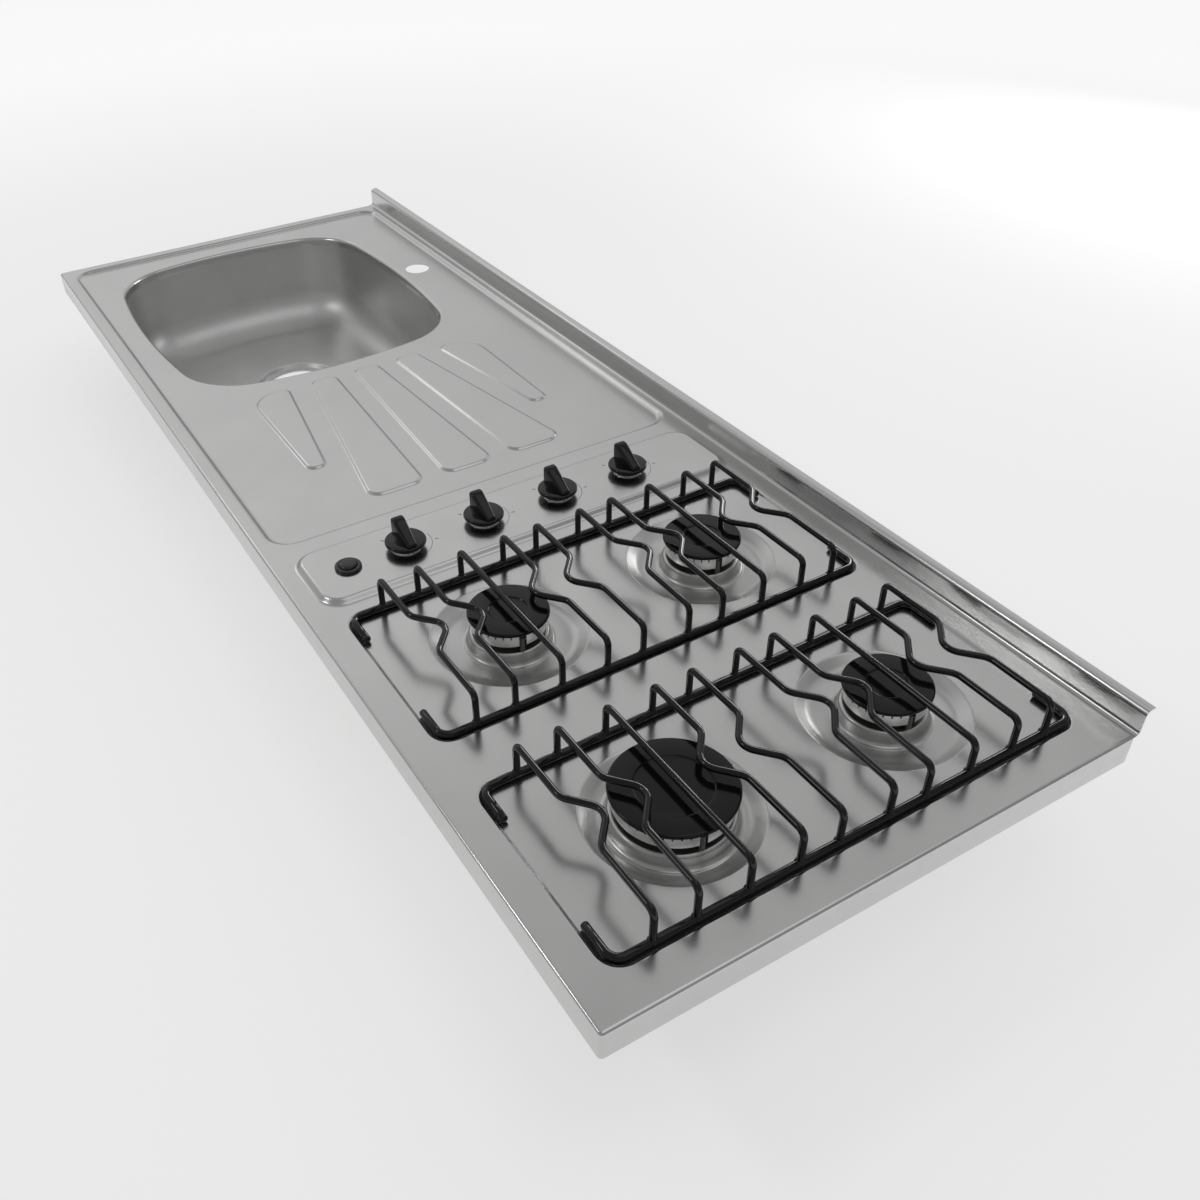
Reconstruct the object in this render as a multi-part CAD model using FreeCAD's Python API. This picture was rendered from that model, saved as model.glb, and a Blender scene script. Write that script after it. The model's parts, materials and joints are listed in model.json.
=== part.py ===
import math
import os

from FreeCAD import Vector
import Part

# Lay-on kitchen top with a sink bowl, a drainer and a four-burner gas hob.
# Millimetres. +X runs to the hob end, +Y to the wall, +Z up.
# The origin is the middle of the plan, on the underside of the sheet that lies on the cabinet.

# Sheet, aprons and upstand
sheet = 1.0
deck_length = 1500.0
deck_depth = 520.0
apron_height = 28.0
apron_corner = 4.0
bend_radius = 3.0
upstand_height = 25.5
upstand_bend = 4.5
upstand_flange = 9.0
pattern_shift = 2.5

# Sunk zone of the sink and drainer
zone_end_margin = 16.0
zone_side_margin = 14.0
zone_corner = 28.0
zone_drop = 4.0
zone_slope = 4.0

# Sink bowl
bowl_end_ledge = 41.0
bowl_front_ledge = 36.0
bowl_back_ledge = 76.0
bowl_share = 0.302
bowl_side_bow = 600.0
bowl_front_bow = 1100.0
bowl_corner = 88.0
bowl_rim = 5.0
bowl_neck = 12.0
bowl_depth = 126.0
bowl_taper = 10.0
bowl_floor_fillet = 28.0
drain_step_radius = 59.0
drain_step_drop = 6.0
drain_step_slope = 4.0
drain_radius = 45.0
drain_shift = 10.0
tap_hole_radius = 17.5
tap_hole_behind_bowl = 31.0

# Drainer fingers, as distances of their edges from the middle at the bowl end and at the far end
finger_rise = 3.0
finger_slope = 4.0
finger_bowl_gap = 30.0
finger_far_gap = 39.0
finger_side_share = 0.69
finger_mid_near = 17.5
finger_mid_far = 31.5
finger_next_near = (40.0, 75.0)
finger_next_far = (55.0, 123.0)
finger_side_near = (103.0, 157.0)
finger_side_far = (134.0, 157.0)
finger_corner = 11.0
finger_side_corner = 36.0

# Raised knob panel
zone_panel_gap = 26.0
panel_width = 98.0
panel_margin = 20.0
panel_corner = 24.0
panel_rise = 5.0
panel_slope = 5.0
panel_field_gap = 16.0

# Hob fields, sunk under the grates
field_width = 201.0
field_gap = 53.5
field_end_margin = 34.5
field_margin = 28.0
field_corner = 20.0
field_drop = 2.5
field_slope = 2.5

# Burners
burner_pitch_share = 0.468
small_crown_radius = 35.0
large_crown_radius = 48.5
dish_reach = 24.5
dish_drop = 8.0
dish_slope = 12.0
collar_overhang = 2.5
collar_width = 10.0
collar_foot = 1.5
collar_height = 13.5
collar_edge = 2.5
neck_ledge = 2.0
neck_height = 6.0
crown_flare = 2.0
crown_height = 13.0
crown_wall = 5.0
crown_tube_wall = 4.0
crown_tube_length = 18.5
crown_tube_gap = 1.0
crown_fit = 0.3
port_width = 1.4
port_height = 4.5
port_pitch = 7.0
cap_overhang = 3.0
cap_thickness = 3.5
cap_edge = 1.4
cap_dish_margin = 16.5
cap_dish_depth = 1.0
cap_lip_height = 3.0
cap_lip_wall = 2.5
cap_fit = 0.4
cup_flange = 3.0
cup_wall = 2.5
cup_depth = 15.5
cup_tail_radius = 14.0
cup_tail_length = 18.0
cup_throat_radius = 9.0
inlet_boss_radius = 8.0
inlet_boss_reach = 12.0
inlet_height = 9.0
socket_depth = 8.0
injector_radius = 5.0
injector_head_radius = 6.5
injector_head_height = 4.0
injector_bore = 0.6
injector_rise = 4.0
collar_screw_radius = 2.0
collar_screw_head = 3.4
collar_screw_head_height = 2.2
collar_screw_depth = 5.0
screw_fit = 0.2
electrode_angle = -8.0
electrode_radius = 2.6
electrode_shoulder = 4.2
electrode_shoulder_height = 6.0
electrode_tail = 10.0
electrode_top_gap = 5.0
electrode_fit = 0.3
electrode_notch_gap = 1.6
pin_radius = 0.9
pin_fit = 0.05
pin_seat = 6.0
pin_top_gap = 2.0

# Grates of welded wire
rod_radius = 3.5
rod_bend = 11.0
rod_stub = 36.0
wire_radius = 3.0
wire_height = 33.0
wire_bend = 7.0
wire_outer_share = 0.387
wire_inner_share = 0.214
jog_depth = 22.0
jog_half_width = 27.0
jog_bend = 8.0
grate_seat_gap = 1.0
grate_rest_gap = 0.3

# Knobs, taps and gas way
knob_pitch_share = 0.1854
knob_count = 4
skirt_radius = 21.0
skirt_thickness = 4.0
skirt_edge = 1.2
skirt_lift = 6.0
knob_hub_radius = 12.0
knob_hub_height = 1.5
fin_height = 18.0
fin_low_height = 3.5
fin_half_length = 18.5
fin_top_run = 9.0
fin_width = 12.0
fin_edge = 1.5
knob_socket = 12.0
knob_travel = 3.5
bezel_radius = 17.0
bezel_bore = 13.0
bezel_height = 2.0
spindle_radius = 4.0
spindle_flat = 1.2
spindle_fit = 0.05
spindle_hole_gap = 3.0
tap_gap = 3.0
tap_radius = 13.0
tap_length = 36.0
tap_neck = 10.0
tap_floor = 5.0
tap_bore_gap = 0.3
plug_top_radius = 8.6
plug_taper = 1.5
plug_fit = 0.3
plug_end_gap = 0.4
plug_port_radius = 2.5
plug_socket = 15.0
plug_socket_spare = 1.0
plug_socket_fit = 0.3
outlet_radius = 7.0
outlet_reach = 24.0
rail_side = 18.0
rail_wall = 1.5
rail_arm_gap = 6.0
rail_overhang = 45.0
rail_drop = 18.0
arm_half_width = 9.0
inlet_radius = 10.48
inlet_bore_radius = 6.0
inlet_length = 16.0
inlet_nut_length = 8.0
inlet_nut_radius = 15.0
inlet_relief = 2.5
inlet_relief_radius = 9.2
rail_screw_radius = 2.5
rail_screw_head = 4.5
rail_screw_head_height = 3.0
rail_screw_depth = 8.0
bracket_width = 22.0
bracket_foot = 20.0
bracket_thickness = 1.5
bracket_offset = 30.0
pipe_radius = 4.0
pipe_fit = 0.1
pipe_bend = 20.0
pipe_run_out = 26.0

# Igniter
igniter_share = 0.1312
igniter_bezel_radius = 13.5
igniter_bezel_height = 3.0
igniter_bezel_edge = 1.2
igniter_neck_radius = 10.8
igniter_neck_length = 8.0
igniter_hole_fit = 0.2
button_radius = 9.0
button_fit = 0.3
button_rise = 5.0
button_dome = 2.0
button_sink = 4.0
button_travel = 3.0
stem_radius = 3.0
stem_length = 12.0
stem_fit = 0.3
igniter_body_side = 26.0
igniter_body_height = 32.0
igniter_body_edge = 2.0

# Cross stiffeners under the flat strips
stiffener_depth = 14.0
stiffener_width = 12.0
stiffener_flange = 5.0
stiffener_margin = 30.0
stiffener_bend = 2.0

# Levels and places worked out from the sizes above
deck_top = sheet
apron_bottom = deck_top - apron_height
zone_floor = deck_top - zone_drop
neck_bottom = zone_floor - bowl_neck
bowl_floor = zone_floor - bowl_depth
panel_top = deck_top + panel_rise
panel_under = panel_top - sheet
field_floor = deck_top - field_drop
dish_floor = field_floor - dish_drop
dish_under = dish_floor - sheet
collar_top = dish_floor + collar_height
crown_bottom = collar_top + neck_height
crown_top = crown_bottom + crown_height
cup_bottom = dish_under - cup_flange - cup_depth
tail_bottom = cup_bottom - cup_tail_length
inlet_level = tail_bottom + inlet_height
rod_level = field_floor + grate_rest_gap + rod_radius
wire_level = rod_level + wire_height

left_end = -deck_length / 2
right_end = deck_length / 2
front_edge = -deck_depth / 2
back_edge = deck_depth / 2
upstand_start = back_edge - upstand_bend - 2 * sheet
field2_right = right_end - field_end_margin
field2_left = field2_right - field_width
field1_right = field2_left - field_gap
field1_left = field1_right - field_width
panel_right = field1_left - panel_field_gap
panel_left = panel_right - panel_width
zone_right = panel_left - zone_panel_gap
zone_left = left_end + zone_end_margin
zone_half = deck_depth / 2 - zone_side_margin
panel_half = deck_depth / 2 - panel_margin
field_half = deck_depth / 2 - field_margin
bowl_width = 2 * zone_half - bowl_front_ledge - bowl_back_ledge
bowl_length = bowl_share * deck_length
bowl_x = zone_left + bowl_end_ledge + bowl_length / 2
bowl_y = pattern_shift - zone_half + bowl_front_ledge + bowl_width / 2
bowl_right = bowl_x + bowl_length / 2
tap_hole_y = bowl_y + bowl_width / 2 + tap_hole_behind_bowl
field_xs = ((field1_left + field1_right) / 2, (field2_left + field2_right) / 2)
knob_x = (panel_left + panel_right) / 2
knob_pitch = knob_pitch_share * 2 * panel_half
igniter_spacing = igniter_share * 2 * panel_half
first_knob_y = pattern_shift - knob_pitch * (knob_count - 1) / 2
knob_ys = [first_knob_y + knob_pitch * place for place in range(knob_count)]
igniter_y = first_knob_y - igniter_spacing
burner_pitch = burner_pitch_share * 2 * field_half
wire_outer = wire_outer_share * burner_pitch
wire_inner = wire_inner_share * burner_pitch
front_burner_y = pattern_shift - burner_pitch / 2
back_burner_y = pattern_shift + burner_pitch / 2

# Each burner takes its place, its crown radius and the knob that feeds it
burners = (
    (field_xs[0], front_burner_y, small_crown_radius, 0),
    (field_xs[0], back_burner_y, small_crown_radius, 3),
    (field_xs[1], front_burner_y, large_crown_radius, 1),
    (field_xs[1], back_burner_y, small_crown_radius, 2),
)


def write(name, shape):
    shape.exportStep(os.path.join("parts", name + ".step"))


def polar(radius, degrees, z=0.0):
    angle = math.radians(degrees)
    return Vector(radius * math.cos(angle), radius * math.sin(angle), z)


def arc(start, middle, end):
    return Part.Arc(start, middle, end).toShape()


def cylinder(radius, bottom, top, x=0.0, y=0.0):
    return Part.makeCylinder(radius, top - bottom, Vector(x, y, bottom))


def box(x0, x1, y0, y1, z0, z1):
    return Part.makeBox(x1 - x0, y1 - y0, z1 - z0, Vector(x0, y0, z0))


def revolve(profile):
    points = [Vector(radius, 0, z) for radius, z in profile]
    face = Part.Face(Part.makePolygon(points + points[:1]))
    return face.revolve(Vector(0, 0, 0), Vector(0, 0, 1), 360)


def moved(shape, x, y, z=0.0):
    copy = shape.copy()
    copy.translate(Vector(x, y, z))
    return copy


def edges_at(shape, z, radius=None):
    # Flat edges at one level, only the round ones of a given radius if that is stated.
    found = []
    for edge in shape.Edges:
        bounds = edge.BoundBox
        level = abs(bounds.ZMin - z) < 1e-6 and abs(bounds.ZMax - z) < 1e-6
        if level and radius is None:
            found.append(edge)
        elif level and edge.Curve.TypeId == "Part::GeomCircle":
            if abs(edge.Curve.Radius - radius) < 1e-6:
                found.append(edge)
    return found


def rounded_wire(points, radii, inset, z):
    # A convex outline, counter-clockwise, with an arc at each corner, drawn in by an inset.
    count = len(points)
    normals = []
    for place in range(count):
        run = points[(place + 1) % count] - points[place]
        run.normalize()
        normals.append(Vector(run.y, -run.x, 0))
    edges = []
    first = None
    last = None
    for place in range(count):
        before = normals[place - 1]
        after = normals[place]
        both = before + after
        centre = points[place] - both * (radii[place] / (1 + before.dot(after)))
        centre.z = z
        radius = radii[place] - inset
        start = centre + before * radius
        end = centre + after * radius
        both.normalize()
        if last is not None:
            edges.append(Part.makeLine(last, start))
        else:
            first = start
        edges.append(arc(start, centre + both * radius, end))
        last = end
    edges.append(Part.makeLine(last, first))
    return Part.Wire(edges)


def corners(x0, x1, y0, y1):
    return [Vector(x0, y0, 0), Vector(x1, y0, 0), Vector(x1, y1, 0), Vector(x0, y1, 0)]


def pressing(points, radii, level, rise, slope):
    # A pressed step of the sheet: sloped sides from one level to the other.
    base = rounded_wire(points, radii, 0, level)
    face = rounded_wire(points, radii, slope, level + rise)
    return Part.makeLoft([base, face], True, True)


def path_edges(points, bends):
    # Straight runs joined by tangent arcs, one bend radius for each inner point.
    edges = []
    last = points[0]
    for place in range(1, len(points) - 1):
        here = points[place]
        back = (points[place - 1] - here).normalize()
        ahead = (points[place + 1] - here).normalize()
        half = back.getAngle(ahead) / 2
        bend = bends[place - 1]
        reach = bend / math.tan(half)
        inward = (back + ahead).normalize()
        middle = here + inward * (bend / math.sin(half) - bend)
        start = here + back * reach
        end = here + ahead * reach
        if start.distanceToPoint(last) > 1e-6:
            edges.append(Part.makeLine(last, start))
        edges.append(arc(start, middle, end))
        last = end
    edges.append(Part.makeLine(last, points[-1]))
    return edges


def bar(points, bends, radius):
    # A round bar or tube along bent runs.
    path = Part.Wire(path_edges(points, bends))
    along = points[1] - points[0]
    section = Part.Wire([Part.makeCircle(radius, points[0], along)])
    return path.makePipeShell([section], True, False)


def strip(points, bend, thickness, length):
    # Bent sheet: the profile is one face of it in the YZ plane, the sheet lies to the right of
    # that path, and bend is the inside radius. The profile is run along X.
    count = len(points)
    normals = []
    for place in range(count - 1):
        run = (points[place + 1] - points[place]).normalize()
        normals.append(Vector(0, run.z, -run.y))
    outside = [points[0] + normals[0] * thickness]
    near_bends = []
    far_bends = []
    for place in range(1, count - 1):
        before = normals[place - 1]
        after = normals[place]
        shift = (before + after) * (thickness / (1 + before.dot(after)))
        outside.append(points[place] + shift)
        turns_right = before.cross(after).x < 0
        near_bends.append(bend + thickness if turns_right else bend)
        far_bends.append(bend if turns_right else bend + thickness)
    outside.append(points[-1] + normals[-1] * thickness)
    edges = path_edges(points, near_bends) + path_edges(outside, far_bends)
    edges.append(Part.makeLine(points[0], outside[0]))
    edges.append(Part.makeLine(points[-1], outside[-1]))
    face = Part.Face(Part.Wire(Part.__sortEdges__(edges)))
    return face.extrude(Vector(length, 0, 0))


def bowl_wire(outset, z):
    # Four long bowed sides and four corner arcs, all offset by the same amount.
    half_x = bowl_length / 2
    half_y = bowl_width / 2
    side = Vector(half_x - bowl_side_bow, 0, 0)
    front = Vector(0, half_y - bowl_front_bow, 0)
    reach_side = bowl_side_bow - bowl_corner
    reach_front = bowl_front_bow - bowl_corner
    span = front - side
    distance = span.Length
    span.normalize()
    along = (distance ** 2 + reach_side ** 2 - reach_front ** 2) / (2 * distance)
    across = math.sqrt(reach_side ** 2 - along ** 2)
    corner = side + span * along + Vector(-span.y, span.x, 0) * across
    low = math.degrees(math.atan2(corner.y - side.y, corner.x - side.x))
    high = math.degrees(math.atan2(corner.y - front.y, corner.x - front.x))
    spans = (
        (side.x, 0, bowl_side_bow, -low, low),
        (corner.x, corner.y, bowl_corner, low, high),
        (0, front.y, bowl_front_bow, high, 180 - high),
        (-corner.x, corner.y, bowl_corner, 180 - high, 180 - low),
        (-side.x, 0, bowl_side_bow, 180 - low, 180 + low),
        (-corner.x, -corner.y, bowl_corner, 180 + low, 180 + high),
        (0, -front.y, bowl_front_bow, 180 + high, 360 - high),
        (corner.x, -corner.y, bowl_corner, 360 - high, 360 - low),
    )
    edges = []
    for x, y, radius, start, end in spans:
        centre = Vector(bowl_x + x, bowl_y + y, z)
        size = radius + outset
        middle = polar(size, (start + end) / 2)
        edges.append(arc(centre + polar(size, start), centre + middle, centre + polar(size, end)))
    return Part.Wire(edges)


def prism(wire, height):
    return Part.Face(wire).extrude(Vector(0, 0, height))


def finger_outlines():
    # One middle finger and two mirrored pairs that fan out from the bowl.
    near = bowl_right + finger_bowl_gap
    far = zone_right - finger_far_gap
    side_end = near + finger_side_share * (far - near)
    outlines = []
    middle = [
        Vector(near, -finger_mid_near, 0),
        Vector(far, -finger_mid_far, 0),
        Vector(far, finger_mid_far, 0),
        Vector(near, finger_mid_near, 0),
    ]
    outlines.append((middle, [finger_corner] * 4))
    pairs = (
        (finger_next_near, finger_next_far, far, finger_corner),
        (finger_side_near, finger_side_far, side_end, finger_side_corner),
    )
    for start, end, reach, corner in pairs:
        right = [
            Vector(near, start[0], 0),
            Vector(reach, end[0], 0),
            Vector(reach, end[1], 0),
            Vector(near, start[1], 0),
        ]
        left = [Vector(point.x, -point.y, 0) for point in reversed(right)]
        outlines.append((right, [finger_corner, finger_corner, finger_corner, corner]))
        outlines.append((left, [corner, finger_corner, finger_corner, finger_corner]))
    for points, radii in outlines:
        for point in points:
            point.y = point.y + pattern_shift
    return outlines


def deck_block(drop):
    # The space under the top face, or under the bottom face when dropped by the sheet.
    below = apron_bottom - drop
    rear = upstand_start + drop
    block = box(left_end + drop, right_end - drop, front_edge + drop, rear, below, deck_top - drop)
    uprights = []
    for edge in block.Edges:
        bounds = edge.BoundBox
        if bounds.ZLength > 1 and bounds.YMax < 0:
            uprights.append(edge)
    block = block.makeFillet(apron_corner - drop, uprights)
    bends = []
    for edge in edges_at(block, deck_top - drop):
        if edge.BoundBox.YMin < rear - 1:
            bends.append(edge)
    block = block.makeFillet(bend_radius - drop, bends)

    low = pattern_shift - zone_half
    high = pattern_shift + zone_half
    zone = corners(zone_left, zone_right, low, high)
    block = block.cut(pressing(zone, [zone_corner] * 4, deck_top - drop, -zone_drop, zone_slope))
    hole = prism(bowl_wire(drop, below), zone_floor - below)
    block = block.cut(hole)
    rim = []
    for edge in edges_at(block, zone_floor - drop):
        bounds = edge.BoundBox
        if bounds.XMax < bowl_right + 2 * sheet and bounds.XMin > zone_left + bowl_end_ledge / 2:
            rim.append(edge)
    block = block.makeFillet(bowl_rim - drop, rim)
    for points, radii in finger_outlines():
        block = block.fuse(pressing(points, radii, zone_floor - drop, finger_rise, finger_slope))

    panel = corners(panel_left, panel_right, pattern_shift - panel_half, pattern_shift + panel_half)
    block = block.fuse(pressing(panel, [panel_corner] * 4, deck_top - drop, panel_rise, panel_slope))
    for left in (field1_left, field2_left):
        low = pattern_shift - field_half
        high = pattern_shift + field_half
        field = corners(left, left + field_width, low, high)
        step = pressing(field, [field_corner] * 4, deck_top - drop, -field_drop, field_slope)
        block = block.cut(step)
    rim_radius = large_crown_radius + dish_reach
    for x, y, _, _ in burners:
        floor = Vector(x, y, dish_floor - drop)
        dish = Part.makeCone(rim_radius - dish_slope, rim_radius, dish_drop, floor)
        block = block.cut(dish)
    return block


def collar_screw_angles():
    return [electrode_angle + 60 + 120 * place for place in range(3)]


def collar_outer(crown):
    return crown + collar_overhang


def collar_inner(crown):
    return collar_outer(crown) - collar_width


def collar_middle(crown):
    return collar_outer(crown) - collar_width / 2


def make_worktop():
    top = deck_block(0)
    under = deck_block(sheet)
    plate = top.cut(under)
    skirt = prism(bowl_wire(2 * sheet, apron_bottom), neck_bottom - apron_bottom)
    plate = plate.cut(skirt)

    wall = back_edge - sheet
    foot = Vector(left_end, upstand_start, deck_top)
    corner = Vector(left_end, wall, deck_top)
    head = Vector(left_end, wall, deck_top + upstand_height)
    flange = Vector(left_end, back_edge + upstand_flange, deck_top + upstand_height)
    upstand = strip([foot, corner, head, flange], upstand_bend, sheet, deck_length)
    plate = plate.fuse(upstand)

    holes = [cylinder(tap_hole_radius, apron_bottom, deck_top, bowl_x, tap_hole_y)]
    for y in knob_ys:
        holes.append(cylinder(spindle_radius + spindle_hole_gap, apron_bottom, panel_top, knob_x, y))
    igniter_hole = igniter_neck_radius + igniter_hole_fit
    holes.append(cylinder(igniter_hole, apron_bottom, panel_top, knob_x, igniter_y))
    for x, y, crown, _ in burners:
        holes.append(cylinder(collar_inner(crown), apron_bottom, deck_top, x, y))
        ring = collar_middle(crown)
        spot = polar(ring, electrode_angle)
        size = electrode_radius + electrode_fit
        holes.append(cylinder(size, apron_bottom, deck_top, x + spot.x, y + spot.y))
        for angle in collar_screw_angles():
            spot = polar(ring, angle)
            size = collar_screw_radius + screw_fit
            holes.append(cylinder(size, apron_bottom, deck_top, x + spot.x, y + spot.y))
    return plate.cut(holes).removeSplitter()


def bowl_space(outset, floor, fillet):
    top = bowl_wire(outset, neck_bottom)
    bottom = bowl_wire(outset - bowl_taper, floor)
    solid = Part.makeLoft([top, bottom], True, True)
    return solid.makeFillet(fillet, edges_at(solid, floor))


def make_bowl():
    drain = Vector(bowl_x, bowl_y + drain_shift, bowl_floor - drain_step_drop)
    low_radius = drain_step_radius - drain_step_slope
    step = Part.makeCone(low_radius, drain_step_radius, drain_step_drop, drain)
    outer = Part.makeCone(low_radius + sheet, drain_step_radius + sheet, drain_step_drop, drain)
    outer.translate(Vector(0, 0, -sheet))
    body = bowl_space(sheet, bowl_floor - sheet, bowl_floor_fillet + sheet).fuse(outer)
    body = body.cut(bowl_space(0, bowl_floor, bowl_floor_fillet))
    body = body.cut(step)
    outlet = cylinder(drain_radius, drain.z - 2 * sheet, drain.z, drain.x, drain.y)
    return body.cut(outlet).removeSplitter()


def make_collar(crown):
    outer = collar_outer(crown)
    inner = collar_inner(crown)
    foot = outer + collar_foot
    profile = ((inner, dish_floor), (foot, dish_floor), (outer, collar_top), (inner, collar_top))
    ring = revolve(profile)
    ring = ring.makeFillet(collar_edge, edges_at(ring, collar_top, outer))
    spot = polar(collar_middle(crown), electrode_angle)
    ring = ring.cut(cylinder(electrode_radius + electrode_fit, dish_floor, collar_top, spot.x, spot.y))
    for angle in collar_screw_angles():
        spot = polar(collar_middle(crown), angle)
        size = collar_screw_radius + screw_fit
        ring = ring.cut(cylinder(size, dish_floor, dish_floor + collar_screw_depth, spot.x, spot.y))
    return ring


def crown_bore(crown):
    return collar_inner(crown) - cup_wall


def make_cup(crown):
    bore = crown_bore(crown)
    flange = dish_under - cup_flange
    seat = collar_top - crown_tube_length - crown_tube_gap
    profile = (
        (bore, dish_under),
        (collar_outer(crown), dish_under),
        (collar_outer(crown), flange),
        (bore + cup_wall, flange),
        (bore + cup_wall, seat),
        (bore - cup_wall, cup_bottom - cup_wall),
        (cup_tail_radius, cup_bottom - cup_wall),
        (cup_tail_radius, tail_bottom),
        (injector_radius, tail_bottom),
        (injector_radius, cup_bottom - cup_wall),
        (cup_throat_radius, cup_bottom),
        (bore - 2 * cup_wall, cup_bottom),
        (bore, seat),
    )
    cup = revolve(profile)
    boss = Part.makeCylinder(
        inlet_boss_radius,
        inlet_boss_reach + cup_tail_radius - injector_radius,
        Vector(-cup_tail_radius - inlet_boss_reach, 0, inlet_level),
        Vector(1, 0, 0),
    )
    tail = cylinder(injector_radius, tail_bottom, cup_bottom)
    cup = cup.fuse(boss.cut(tail))
    socket = Part.makeCylinder(
        pipe_radius + pipe_fit,
        socket_depth,
        Vector(-cup_tail_radius - inlet_boss_reach, 0, inlet_level),
        Vector(1, 0, 0),
    )
    cup = cup.cut(socket)
    spot = polar(collar_middle(crown), electrode_angle)
    cup = cup.cut(cylinder(electrode_radius + electrode_fit, flange, dish_under, spot.x, spot.y))
    for angle in collar_screw_angles():
        spot = polar(collar_middle(crown), angle)
        cup = cup.cut(cylinder(collar_screw_radius + screw_fit, flange, dish_under, spot.x, spot.y))
    return cup.removeSplitter()


def make_crown(crown):
    tube_outer = crown_bore(crown) - crown_fit
    tube_inner = tube_outer - crown_tube_wall
    neck = collar_inner(crown) + neck_ledge
    tube_bottom = collar_top - crown_tube_length
    inner = crown - crown_wall
    profile = (
        (tube_inner, tube_bottom),
        (tube_outer, tube_bottom),
        (tube_outer, collar_top),
        (neck, collar_top),
        (neck, crown_bottom - crown_flare),
        (crown, crown_bottom),
        (crown, crown_top),
        (inner, crown_top),
        (inner, crown_bottom + crown_flare),
        (tube_inner, collar_top + crown_flare),
    )
    ring = revolve(profile)
    count = round(2 * math.pi * crown / port_pitch)
    ports = []
    for place in range(count):
        port = box(inner - crown_wall, crown + crown_wall, -port_width / 2, port_width / 2,
                   crown_top - port_height, crown_top)
        port.rotate(Vector(0, 0, 0), Vector(0, 0, 1), electrode_angle + 360 * (place + 0.5) / count)
        ports.append(port)
    ring = ring.cut(ports)
    spot = polar(collar_middle(crown), electrode_angle)
    notch = cylinder(electrode_radius + electrode_notch_gap, collar_top, crown_top, spot.x, spot.y)
    return ring.cut(notch)


def make_cap(crown):
    top = crown_top + cap_thickness
    rim = crown + cap_overhang
    lip = crown - crown_wall - cap_fit
    dish = crown - cap_dish_margin
    profile = (
        (0, crown_top),
        (lip - cap_lip_wall, crown_top),
        (lip - cap_lip_wall, crown_top - cap_lip_height),
        (lip, crown_top - cap_lip_height),
        (lip, crown_top),
        (rim, crown_top),
        (rim, top),
        (dish, top),
        (dish - cap_dish_depth, top - cap_dish_depth),
        (0, top - cap_dish_depth),
    )
    cap = revolve(profile)
    return cap.makeFillet(cap_edge, edges_at(cap, top, rim))


def make_electrode():
    flange = dish_under - cup_flange
    shoulder = flange - electrode_shoulder_height
    top = crown_top - electrode_top_gap
    body = cylinder(electrode_radius, shoulder - electrode_tail, top)
    body = body.fuse(cylinder(electrode_shoulder, shoulder, flange))
    return body.cut(cylinder(pin_radius + pin_fit, top - pin_seat, top)).removeSplitter()


def make_pin():
    top = crown_top - electrode_top_gap
    return cylinder(pin_radius, top - pin_seat, crown_top - pin_top_gap)


def make_injector():
    head = tail_bottom - injector_head_height
    nozzle = cylinder(injector_radius - screw_fit, tail_bottom, inlet_level + injector_rise)
    points = [polar(injector_head_radius, 60 * place, head) for place in range(7)]
    flats = prism(Part.makePolygon(points), injector_head_height)
    jet = cylinder(injector_bore, head, inlet_level + injector_rise)
    return nozzle.fuse(flats).cut(jet).removeSplitter()


def make_collar_screw():
    flange = dish_under - cup_flange
    shank = cylinder(collar_screw_radius, flange, dish_floor + collar_screw_depth - screw_fit)
    head = cylinder(collar_screw_head, flange - collar_screw_head_height, flange)
    return shank.fuse(head).removeSplitter()


def make_grate():
    # Two long rods with turned-in ends carry ten cross wires, welded where they meet.
    half_x = field_width / 2 - field_slope - grate_seat_gap - rod_radius
    half_y = field_half - field_slope - grate_seat_gap - rod_radius
    pieces = []
    for side in (-1, 1):
        tip = side * (half_x - rod_stub)
        rod = [
            Vector(tip, -half_y, rod_level),
            Vector(side * half_x, -half_y, rod_level),
            Vector(side * half_x, half_y, rod_level),
            Vector(tip, half_y, rod_level),
        ]
        pieces.append(bar(rod, [rod_bend, rod_bend], rod_radius))
    for burner in (-burner_pitch / 2, burner_pitch / 2):
        for offset in (-wire_outer, -wire_inner, 0, wire_inner, wire_outer):
            y = burner + offset
            start = [Vector(-half_x, y, rod_level), Vector(-half_x, y, wire_level)]
            end = [Vector(half_x, y, wire_level), Vector(half_x, y, rod_level)]
            jog = []
            bends = [wire_bend, wire_bend]
            if offset:
                inward = -math.copysign(jog_depth, offset)
                jog.append(Vector(-jog_half_width, y, wire_level))
                jog.append(Vector(0, y + inward, wire_level))
                jog.append(Vector(jog_half_width, y, wire_level))
                bends = [wire_bend, jog_bend, jog_bend, jog_bend, wire_bend]
            pieces.append(bar(start + jog + end, bends, wire_radius))
    return pieces[0].fuse(pieces[1:]).removeSplitter()


def skirt_bottom():
    return panel_top + skirt_lift


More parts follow.
